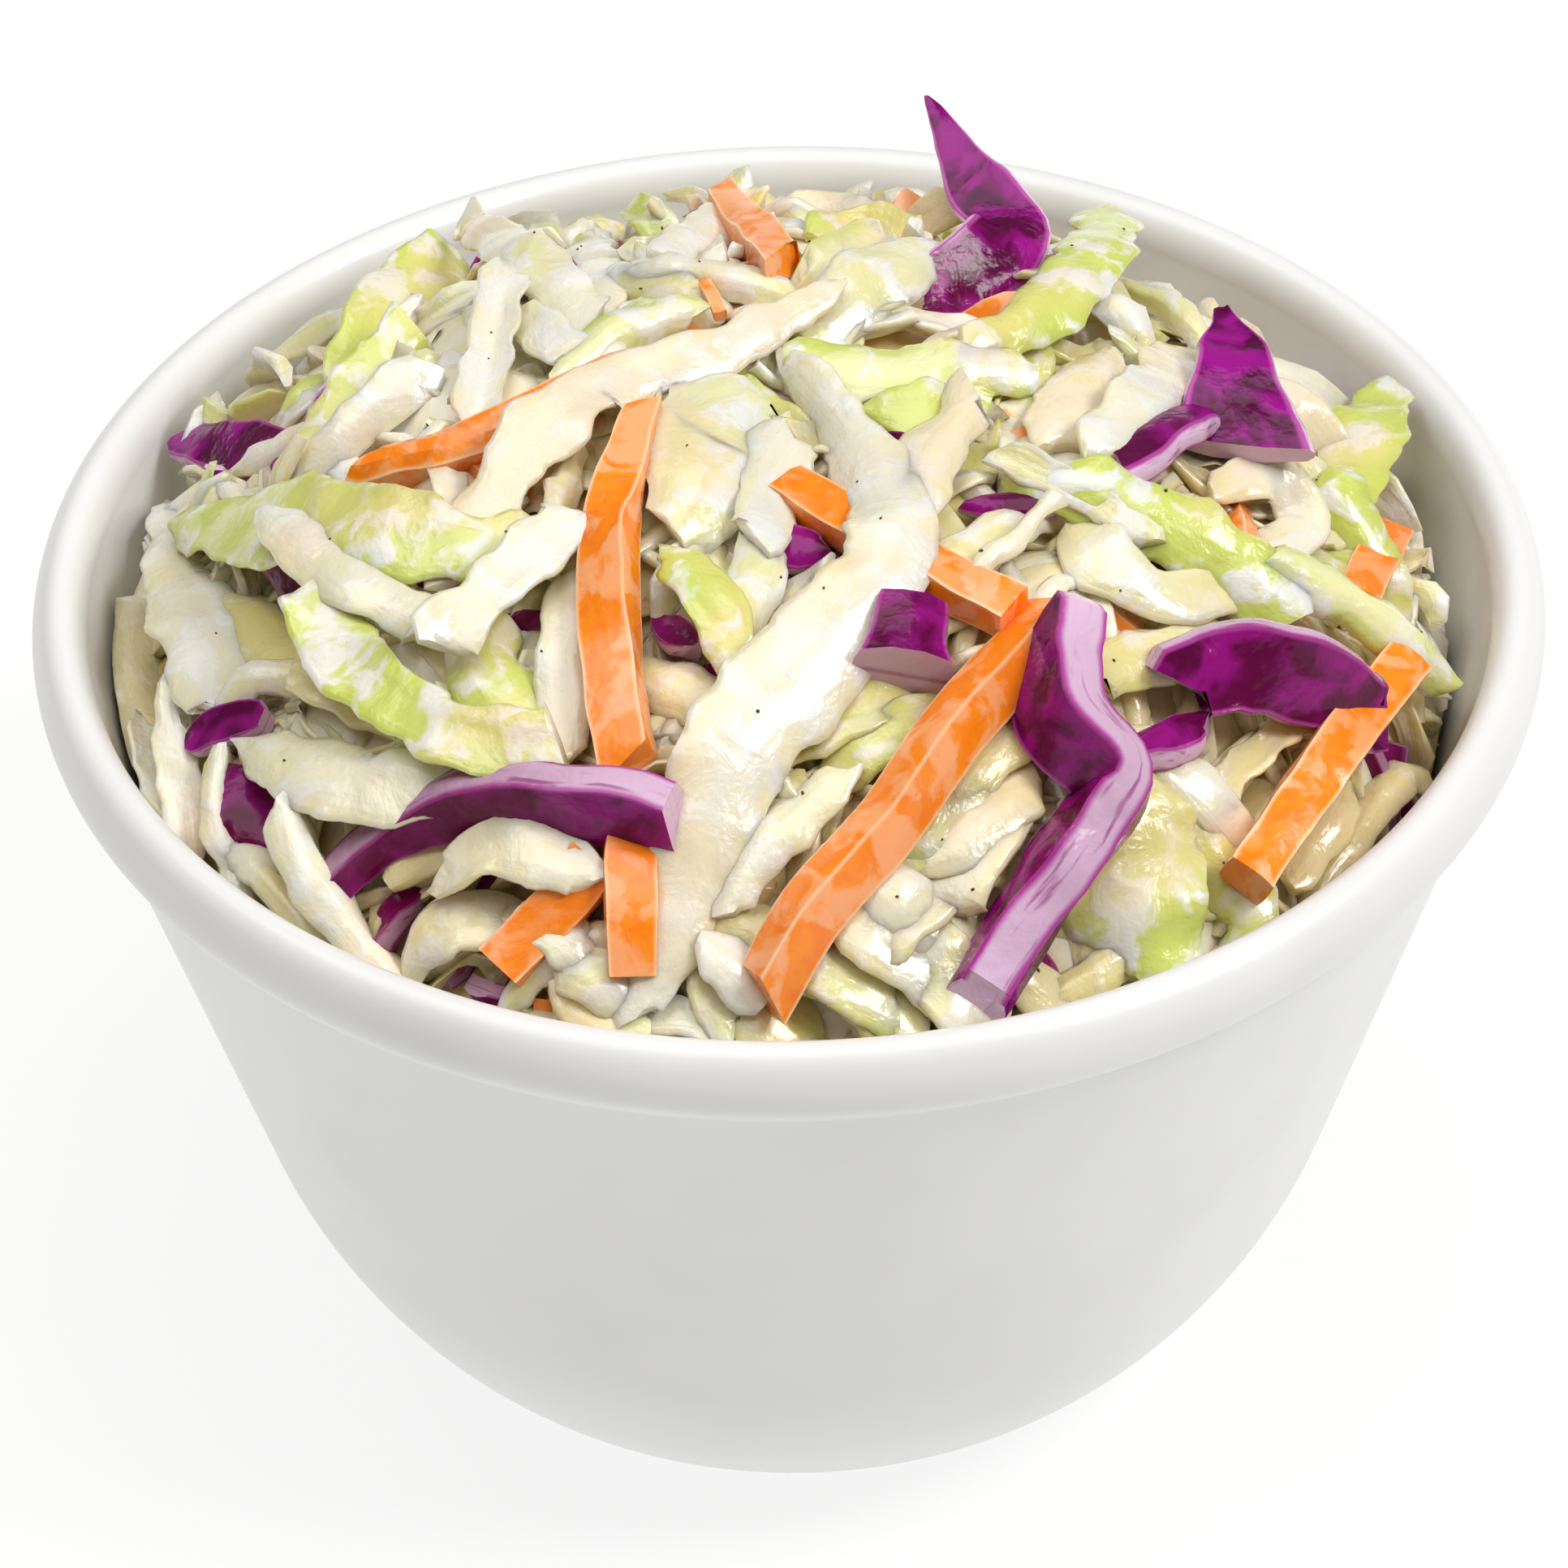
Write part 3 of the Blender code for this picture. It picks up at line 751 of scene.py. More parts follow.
@dataclass
class Core:
    """The depth of the heap that shows between the shreds, coloured dark as painted shade."""

    heap: Heap
    depth: float = 5.0
    bump: float = 1.1
    waves: int = 7
    pitches: tuple[float, float] = (4.0, 9.0)
    middle: float = 0.04  # the innermost ring's share of the outermost
    bottom_share: float = 0.97
    thickness: float = 6.0
    steps: int = 96
    rings: int = 30

    def build(self) -> bpy.types.Object:
        """Makes the core: a closed lens from the wall's contact up, with uneven relief."""
        chance = np.random.default_rng(SEED + 1)
        waves = [(chance.uniform(0, math.tau), chance.uniform(*self.pitches), chance.uniform(0, math.tau))
                 for _ in range(self.waves)]
        angles = np.linspace(0.0, math.tau, self.steps, endpoint=False)
        rings = []
        for share in np.linspace(1.0, self.middle, self.rings):
            radius = share * self.heap.side
            x, y = radius * np.cos(angles), radius * np.sin(angles)
            height = self.heap.surface(x, y) - self.depth
            for turn, pitch, phase in waves:
                along = (x * math.cos(turn) + y * math.sin(turn)) * math.tau / pitch + phase
                height = height + self.bump / 2 * np.sin(along) * (1.0 - share ** 4)
            rings.append(self.heap.keep_inside(np.stack([x, y, height], axis=1)))
        bottom = rings[0] * (self.bottom_share, self.bottom_share, 1.0) - (0.0, 0.0, self.thickness)
        piece = add_piece("slaw_core", closed_rings("slaw_core", [bottom, *rings], CoreFinish().material()))
        hand_over(piece, Kind.WHITE.value, "coleslaw")
        return piece


# --------------------------------------------------------------------------- shreds


@dataclass
class Shred:
    """One piece of vegetable: its middle line and its section along it."""

    kind: Kind
    line: Sequence[tuple[float, float, float]]
    widths: Sequence[float]
    thickness: float = 0.9
    rolls: Sequence[float] = (0.0,)
    curl: float = 0.0
    slant: float = 0.0
    taper: float = 1.1
    tone: float = 0.5
    stiff: bool = False
    ripple: float = 0.5


@dataclass(frozen=True)
class Cut:
    """How one vegetable is cut for the slaw, as ranges in millimetres and degrees."""

    share: float
    lengths: tuple[float, float]
    widths: tuple[float, float]
    thicknesses: tuple[float, float]
    bend: float
    curl: float
    roll: float
    slant: float = 0.3
    taper: float = 1.4
    stiff: bool = False
    ripple: float = 0.5


CUTS = {
    Kind.WHITE: Cut(0.62, (12, 30), (1.6, 4.6), (0.7, 1.1), 90, 0.4, 40, ripple=0.8),
    Kind.GREEN: Cut(0.22, (10, 24), (2.2, 5.2), (0.7, 1.0), 80, 0.5, 40, ripple=1.0),
    Kind.CARROT: Cut(0.07, (8, 20), (1.8, 3.2), (1.8, 3.0), 14, 0.0, 30, taper=0.0, stiff=True, ripple=0.1),
    Kind.RED: Cut(0.09, (5, 14), (1.8, 3.4), (1.2, 2.0), 60, 0.3, 60, taper=0.8),
}


def smooth_line(points: np.ndarray, spacing: float) -> np.ndarray:
    """A smooth line through a few points, at even spacing.

    Args:
        points: rows of coordinates.
        spacing: distance between the points of the result.

    Returns:
        The line's points.
    """
    points = np.asarray(points, dtype=float)
    if len(points) > 2:
        ends = np.vstack([2 * points[0] - points[1], points, 2 * points[-1] - points[-2]])
        share = np.linspace(0.0, 1.0, 12, endpoint=False)[:, None]
        spans = []
        for before, start, end, after in zip(ends, ends[1:], ends[2:], ends[3:]):
            square = (2 * before - 5 * start + 4 * end - after) * share ** 2
            cube = (3 * start - before - 3 * end + after) * share ** 3
            spans.append(0.5 * (2 * start + (end - before) * share + square + cube))
        points = np.vstack([*spans, points[-1:]])
    steps = np.linalg.norm(np.diff(points, axis=0), axis=1)
    travelled = np.concatenate([[0.0], np.cumsum(steps)])
    count = max(int(round(travelled[-1] / spacing)) + 1, 4)
    wanted = np.linspace(0.0, travelled[-1], count)
    return np.stack([np.interp(wanted, travelled, points[:, i]) for i in range(points.shape[1])], axis=1)


def unit(rows: np.ndarray) -> np.ndarray:
    """Rows brought to a length of one."""
    return rows / np.maximum(np.linalg.norm(rows, axis=1, keepdims=True), 1e-6)


def along_line(values: Sequence[float], count: int) -> np.ndarray:
    """A few values spread over the points of a line."""
    return np.interp(np.linspace(0.0, 1.0, count), np.linspace(0.0, 1.0, len(values)), values)


def soften(values: np.ndarray, rounds: int) -> np.ndarray:
    """Evens out a row of values, keeping its ends."""
    values = values.copy()
    for _ in range(rounds):
        values[1:-1] = 0.25 * values[:-2] + 0.5 * values[1:-1] + 0.25 * values[2:]
    return values


def spread(values: np.ndarray, cells: int, rounds: int = 3) -> np.ndarray:
    """Blurs a grid of values over some cells each way."""
    for _ in range(rounds):
        for axis in (0, 1):
            padded = np.concatenate([np.repeat(values.take([0], axis), cells, axis), values,
                                     np.repeat(values.take([-1], axis), cells, axis)], axis)
            total = np.cumsum(np.concatenate([np.zeros_like(padded.take([0], axis)), padded], axis), axis)
            width = 2 * cells + 1
            high = total.take(range(width, total.shape[axis]), axis)
            values = (high - total.take(range(0, total.shape[axis] - width), axis)) / width
    return values


class Pile:
    """The heap as it is laid: a height for every cell of the cup's plan, raised by each shred."""

    cell = 0.4
    half = 46.0
    spacing = 0.65
    coarse = 1.15
    give = 0.7
    lift = 0.6
    press = 4.5
    torn = (0.2, 2.2)
    limp = 0.3
    rise = 1.4  # how far over its limit one point of a shred may lie
    end_power = 0.6  # how bluntly a torn end narrows
    kept_clear = 0.8  # the share of a large shred's width that the loose ones keep clear
    open_sky = 99.0
    # where the painted shade starts under the shreds around, and how much deeper it is at full strength
    soak_start, soak_depth = 0.2, 4.5
    sagging = 14  # rounds in which a limp shred sags between its rests
    tilts = np.linspace(-0.7, 0.7, 29)  # the slopes at which a stick is tried
    most_lean, large_lean = 0.8, 0.3
    all_across = np.linspace(-0.5, 0.5, 13)
    front = np.array((0.0, -0.78, 0.63))

    def __init__(self, heap: Heap, start_depth: float) -> None:
        """Starts with the core alone.

        Args:
            heap: the form to fill.
            start_depth: how far under that form the core lies.
        """
        self.heap = heap
        self.count = int(2 * self.half / self.cell) + 1
        axis = np.linspace(-self.half, self.half, self.count)
        grid_x, grid_y = np.meshgrid(axis, axis, indexing="ij")
        self.form = heap.surface(grid_x, grid_y)
        self.height = self.form - start_depth
        self.roof = np.full_like(self.height, self.open_sky)
        self.laid: dict[Kind, list[dict[str, np.ndarray]]] = {kind: [] for kind in Kind}

    def _cells(self, x: np.ndarray, y: np.ndarray) -> tuple[np.ndarray, np.ndarray]:
        """The cells under places."""
        rows, columns = (np.clip(np.round((places + self.half) / self.cell), 0, self.count - 1).astype(int)
                         for places in (x, y))
        return rows, columns

    def _strip_cells(self, line: np.ndarray, widths: np.ndarray,
                     shares: Sequence[float]) -> Iterator[tuple[np.ndarray, np.ndarray]]:
        """The cells under a strip, row by row.

        Args:
            line: rows that start with x and y.
            widths: the strip's width at each point.
            shares: where across the strip the rows lie, from -0.5 to 0.5.

        Yields:
            The rows and columns of the cells under each row of the strip.
        """
        sides = self._sides(line)
        for share in shares:
            spots = line[:, :2] + sides * (share * widths)[:, None]
            yield self._cells(spots[:, 0], spots[:, 1])

    @staticmethod
    def _frame(line: np.ndarray) -> tuple[np.ndarray, np.ndarray, np.ndarray]:
        """Directions along a line, level across it and upright from it, at each of its points."""
        ahead = unit(np.gradient(line, axis=0))
        level = np.column_stack([Pile._sides(line), np.zeros(len(line))])
        return ahead, level, np.cross(level, ahead)

    def _facing(self, line: np.ndarray) -> np.ndarray:
        """The roll at which a strip turns its broad face to the front of the cup, halfway up."""
        _, level, upright = self._frame(line)
        return np.arctan2(-level @ self.front, upright @ self.front)

    @staticmethod
    def _sides(line: np.ndarray) -> np.ndarray:
        """The level direction across a line at each of its points."""
        ahead = unit(np.gradient(line[:, :2], axis=0))
        return np.stack([ahead[:, 1], -ahead[:, 0]], axis=1)

    def under(self, line: np.ndarray, widths: np.ndarray) -> tuple[np.ndarray, np.ndarray]:
        """What a strip would rest on.

        Args:
            line: rows that start with x and y.
            widths: the strip's width at each point.

        Returns:
            The highest cell under each point, and the slope across it.
        """
        rows = self._strip_cells(line, widths, (-0.5, -0.25, 0.0, 0.25, 0.5))
        found = np.array([self.height[cells] for cells in rows])
        slope = (found[3:].mean(axis=0) - found[:2].mean(axis=0)) / np.maximum(widths * 0.75, 0.5)
        return found.max(axis=0), slope

    def over(self, line: np.ndarray, widths: np.ndarray) -> np.ndarray:
        """The lowest roof over each point of a strip."""
        rows = self._strip_cells(line, widths, (-0.5, 0.0, 0.5))
        return np.array([self.roof[cells] for cells in rows]).min(axis=0)

    def reserve(self, shred: Shred) -> None:
        """Keeps what is laid later out of a large shred's way: a roof at its underside."""
        line = smooth_line(np.array(shred.line, dtype=float), self.spacing / 2)
        widths = along_line(shred.widths, len(line)) * self.kept_clear
        for cells in self._strip_cells(line, widths, self.all_across):
            np.minimum.at(self.roof, cells, line[:, 2] - shred.thickness / 2)

    def lack(self, x: float, y: float) -> float:
        """How far the pile is below the heap's form at a place, on the whole of a small patch."""
        row, column = self._cells(np.array(x), np.array(y))
        patch = (slice(max(row - 4, 0), row + 5, 2), slice(max(column - 4, 0), column + 5, 2))
        return float((np.minimum(self.form[patch], self.roof[patch]) - self.height[patch]).mean())

    def settle(self) -> None:
        """Notes how high the loose shreds reach, which is where the dressing lies."""
        self.wet = self.height.copy()

    def soak(self, places: np.ndarray) -> np.ndarray:
        """How deep under their neighbours places lie, from 0 in the open to 1, which sets the painted shade
        there.
        """
        crowd = spread(self.height, 4)[self._cells(places[:, 0], places[:, 1])]
        return np.clip((crowd - places[:, 2] - self.soak_start) / self.soak_depth, 0.0, 1.0)

    @staticmethod
    def rest(support: np.ndarray, stiff: bool) -> np.ndarray:
        """How a strip lies over what is under it.

        Args:
            support: the height under each point.
            stiff: a stick that stays straight, and not a limp shred that sags between its rests.

        Returns:
            The height of the strip's underside.
        """
        if not stiff:
            lying = support.copy()
            for _ in range(Pile.sagging):
                lying[1:-1] = np.maximum(support[1:-1], 0.5 * (lying[:-2] + lying[2:]))
            return np.maximum(soften(lying, 3), soften(support, 3))
        share = np.linspace(-0.5, 0.5, len(support))
        best = None
        for tilt in Pile.tilts * len(support) * Pile.coarse:
            level = (support - tilt * share).max()
            if best is None or level < best[0]:
                best = (level, level + tilt * share)
        return best[1]

    def lay(self, shred: Shred, chance: np.random.Generator, limit: Optional[float] = None) -> bool:
        """Lays one shred and raises the cells under it.

        Args:
            shred: the shred; the heights of its line are kept where nothing is in their way.
            chance: the source of its small unevenness.
            limit: how far above the heap's form it may lie; it isn't laid where it would lie higher.

        Returns:
            Whether it was laid.
        """
        spacing = self.spacing if limit is None else self.coarse
        line = smooth_line(np.array(shred.line, dtype=float), spacing)
        count = len(line)
        travelled = np.arange(count) * spacing
        widths = along_line(shred.widths, count)
        if shred.taper > 0:
            tapers = shred.taper * chance.uniform(*self.torn, 2)
            for from_end, taper in zip((travelled + 0.3, travelled[::-1] + 0.3), tapers):
                widths = widths * np.minimum(from_end / taper, 1.0) ** self.end_power
        rolls = np.radians(along_line(shred.rolls, count))
        if limit is None:
            rolls = rolls + self.lift * self._facing(line)
        turned = np.abs(np.cos(rolls)) * widths + np.abs(np.sin(rolls)) * shred.thickness
        depth = np.abs(np.sin(rolls)) * widths + np.abs(np.cos(rolls)) * shred.thickness
        support, slope = self.under(line, turned)
        lying = self.rest(support, shred.stiff) + depth / 2
        if limit is None:
            raised = np.maximum(lying - line[:, 2], 0.0)
            lying = line[:, 2] + soften(np.minimum(raised, self.give), 4)
            lying = np.minimum(lying, self.heap.ceiling - depth / 2)
        else:
            pressed = np.minimum(lying, self.over(line, turned) - depth / 2)
            above = pressed + depth / 2 - self.heap.surface(line[:, 0], line[:, 1])
            too_high = above.mean() > limit or above.max() > limit + self.rise
            if too_high or (lying - pressed).max() > self.press:
                return False
            lying = soften(pressed, 2)
        line = np.column_stack([line[:, :2], lying])
        reach = np.hypot(line[:, 0], line[:, 1])
        share = np.minimum((self.heap.room(line[:, 2]) - widths * 0.2) / np.maximum(reach, 1e-6), 1.0)
        line[:, :2] *= share[:, None]
        lean = np.clip(np.arctan(soften(slope, 6)), -self.most_lean, self.most_lean) * np.cos(rolls)
        if limit is None:
            lean *= self.large_lean
        self._keep(shred, line, widths, rolls - lean, chance)
        self._raise(line, turned, lying + depth / 2)
        return True

    def _keep(self, shred: Shred, line: np.ndarray, widths: np.ndarray, rolls: np.ndarray,
              chance: np.random.Generator) -> None:
        """Stores what the sweep needs at each point of a laid shred."""
        count = len(line)
        ahead, level, upright = self._frame(line)
        cosine, sine = np.cos(rolls)[:, None], np.sin(rolls)[:, None]
        ends = np.zeros(count)
        ends[0], ends[1], ends[-2], ends[-1] = 1.0, 0.5, 0.5, 1.0
        limp = 0.0 if shred.taper == 0 else self.limp
        play = 0.02 if shred.kind is Kind.CARROT else np.minimum(0.2, 0.8 / widths)
        uneven = 1.0 + play * soften(chance.normal(size=count), 5)
        self.laid[shred.kind].append({
            "spine": line,
            "sideways": level * cosine + upright * sine,
            "upwards": upright * cosine - level * sine,
            "forwards": ahead,
            "width": widths * uneven,
            "thick": np.full(count, shred.thickness),
            "curl": np.full(count, shred.curl + limp * chance.normal() * min(3.0 / widths.max(), 1.0)),
            "slant": ends * (shred.slant + limp * chance.normal()) * widths,
            "ripple_size": np.full(count, shred.ripple),
            "tone": np.full(count, shred.tone),
            "along": np.linspace(0.0, 1.0, count),
        })

    def _raise(self, line: np.ndarray, widths: np.ndarray, tops: np.ndarray) -> None:
        """Lifts the cells that a laid shred covers."""
        finer = np.linspace(0, len(line) - 1, len(line) * 3)
        x, y, wide, high = (np.interp(finer, np.arange(len(line)), values)
                            for values in (line[:, 0], line[:, 1], widths, tops))
        for cells in self._strip_cells(np.stack([x, y], axis=1), wide, self.all_across):
            np.maximum.at(self.height, cells, high)


# What a laid shred carries in millimetres, and what only its sweep needs.
LENGTHS = ("width", "thick", "slant")
SPENT = ("spine", "sideways", "upwards", "forwards", "width", "thick", "curl", "slant", "ripple_size")


@dataclass
class Sweep:
    """Turns laid shreds of one kind into one mesh, each a closed strip with its own section."""

    kind: Kind
    pile: Pile
    material: bpy.types.Material
    squareness: float = 4.6
    thin_edge: float = 0.4
    ripple_pitch: float = 5.0
    lumps: float = 0.2
    lump_pitch: float = 3.2
    fray: float = 0.5
    fray_pitch: float = 2.2
    section_cuts: int = 2
    contrast: float = 1.6  # how far the noise is pulled apart to reach from -1 to 1
    sharp: float = 70.0

    def _tree(self) -> ModifierTree:
        """The tree that sweeps a section along every spine."""
        lengths = {"Ripple Pitch": self.ripple_pitch, "Lumps": self.lumps, "Lump Pitch": self.lump_pitch,
                   "Fray": self.fray, "Fray Pitch": self.fray_pitch}
        sizes = {"Section Cuts": self.section_cuts, "Squareness": self.squareness,
                 "Thin Edge": self.thin_edge, **{name: length * MM for name, length in lengths.items()}}
        graph = ModifierTree(f"{self.kind.value}_sweep", sizes)
        spines = graph.add("GeometryNodeMeshToCurve", {"Mesh": graph.given["Geometry"]}).outputs[0]
        sides = {"Width": 2.0, "Height": 2.0}
        square = graph.add("GeometryNodeCurvePrimitiveQuadrilateral", sides).outputs[0]
        cuts = {0: square, "Cuts": graph.given["Section Cuts"]}
        section = graph.add("GeometryNodeSubdivideCurve", cuts).outputs[0]
        place = graph.add("GeometryNodeInputPosition").outputs[0]
        split = graph.add("ShaderNodeSeparateXYZ", {0: place}).outputs
        section = graph.store(section, "across", split["X"])
        section = graph.store(section, "face", split["Y"])
        inputs = {"Curve": spines, "Profile Curve": section, "Fill Caps": True}
        strips = graph.add("GeometryNodeCurveToMesh", inputs).outputs[0]
        moved = {"Geometry": strips, "Position": self._surface(graph)}
        strips = graph.add("GeometryNodeSetPosition", moved).outputs[0]
        for spent in SPENT:
            inputs = {"Geometry": strips, "Name": spent}
            strips = graph.add("GeometryNodeRemoveAttribute", inputs).outputs[0]
        graph.close(strips, self.material)
        return graph

    def _surface(self, graph: ModifierTree) -> Socket:
        """Where each point of a strip lies: its spine, plus its section, curl, ripples and lumps."""
        given, product = graph.given, graph.product
        across, face = graph.named("across"), graph.named("face")
        spine = graph.named("spine", "FLOAT_VECTOR")
        half_width = product(graph.named("width"), 0.5)
        half_thick = product(graph.named("thick"), 0.5)
        far_across = graph.math("POWER", graph.math("ABSOLUTE", across), 2.0)
        shift = product(graph.named("tone"), TONE_SHIFT)
        ripple = self._noise(graph, spine, given["Ripple Pitch"], graph.math("ADD", shift, across))
        flat = self._moved(graph, spine, sideways=product(across, half_width),
                           upwards=product(face, half_thick))
        lump = product(self._noise(graph, flat, given["Lump Pitch"], shift), given["Lumps"])

        inset = self._rounding(graph, across, face)
        aside = graph.math("MULTIPLY_ADD", across, 3.0, shift)
        torn = product(self._noise(graph, spine, given["Fray Pitch"], aside), given["Fray"])
        edges = product(across, graph.math("ADD", lump, torn))
        sideways = graph.math("MULTIPLY_ADD", product(across, inset), half_width, edges)

        worn = product(graph.math("POWER", far_across, 2.0), given["Thin Edge"])
        thick = product(face, inset, graph.math("SUBTRACT", 1.0, worn))
        curl = product(graph.named("curl"), far_across, half_width)
        wave = product(ripple, graph.named("ripple_size"), far_across, MM)
        upwards = graph.math("MULTIPLY_ADD", thick, half_thick, product(face, lump))
        upwards = graph.math("ADD", upwards, graph.math("ADD", curl, wave))
        forwards = product(across, graph.named("slant"))
        return self._moved(graph, spine, sideways=sideways, upwards=upwards, forwards=forwards)

    @staticmethod
    def _moved(graph: ModifierTree, place: Any, **amounts: Any) -> Socket:
        """A place, moved by an amount along each of the strip's named directions."""
        for name, amount in amounts.items():
            step = graph.vector("SCALE", graph.named(name, "FLOAT_VECTOR"), amount)
            place = graph.vector("ADD", place, step)
        return place

    @staticmethod
    def _rounding(graph: ModifierTree, across: Any, face: Any) -> Socket:
        """The share by which a point of the square section is drawn in, which rounds its corners."""
        power = graph.given["Squareness"]
        wide = graph.math("POWER", graph.math("ABSOLUTE", across), power)
        thick = graph.math("POWER", graph.math("ABSOLUTE", face), power)
        return graph.math("POWER", graph.math("ADD", wide, thick), graph.math("DIVIDE", -1.0, power))

    def _noise(self, graph: ModifierTree, place: Any, pitch: Any, shift: Any) -> Socket:
        """Noise from about -1 to 1 with patches of a given pitch."""
        inputs = {"Vector": place, "W": shift, "Scale": graph.math("DIVIDE", 1.0, pitch), "Detail": 0.6}
        noise = graph.add("ShaderNodeTexNoise", inputs, noise_dimensions="4D").outputs[0]
        return graph.math("MULTIPLY_ADD", noise, self.contrast * 2, -self.contrast)

    def _spines(self) -> bpy.types.Mesh:
        """The middle lines of all shreds, with what the sweep needs at each point."""
        shreds = self.pile.laid[self.kind]
        mesh = bpy.data.meshes.new(self.kind.value)
        places = np.vstack([shred["spine"] for shred in shreds])
        starts = np.cumsum([0] + [len(shred["spine"]) for shred in shreds])
        edges = [(i, i + 1) for low, high in zip(starts, starts[1:]) for i in range(low, high - 1)]
        metres = part_metres(places)
        mesh.from_pydata(metres.tolist(), edges, [])
        # the painted shade goes on every point: darker and warmer where a shred lies under others
        for name in (*shreds[0], "soak"):
            if name == "soak":
                values = self.pile.soak(places)
            elif name == "spine":
                values = metres
            else:
                values = np.concatenate([shred[name] for shred in shreds])
                values = values * MM if name in LENGTHS else values
            kind, field = ("FLOAT_VECTOR", "vector") if values.ndim == 2 else ("FLOAT", "value")
            mesh.attributes.new(name, kind, "POINT").data.foreach_set(field, values.ravel())
        return mesh

    def build(self) -> bpy.types.Object:
        """Makes the piece and hands it over."""
        piece = add_piece(self.kind.value, self._spines())
        self._tree().put_on(piece)
        mesh = own_mesh(piece)
        places = vertices_of(mesh) / MM - (0.0, 0.0, RIM_HEIGHT)
        places = part_metres(self.pile.heap.keep_inside(places))
        mesh.vertices.foreach_set("co", places.ravel())
        mesh.update()
        mesh.shade_smooth()
        mesh.set_sharp_from_angle(angle=math.radians(self.sharp))
        hand_over(piece, self.kind.value, "coleslaw")
        return piece


# --------------------------------------------------------------------------- the slaw


W, G, C, R = Kind.WHITE, Kind.GREEN, Kind.CARROT, Kind.RED

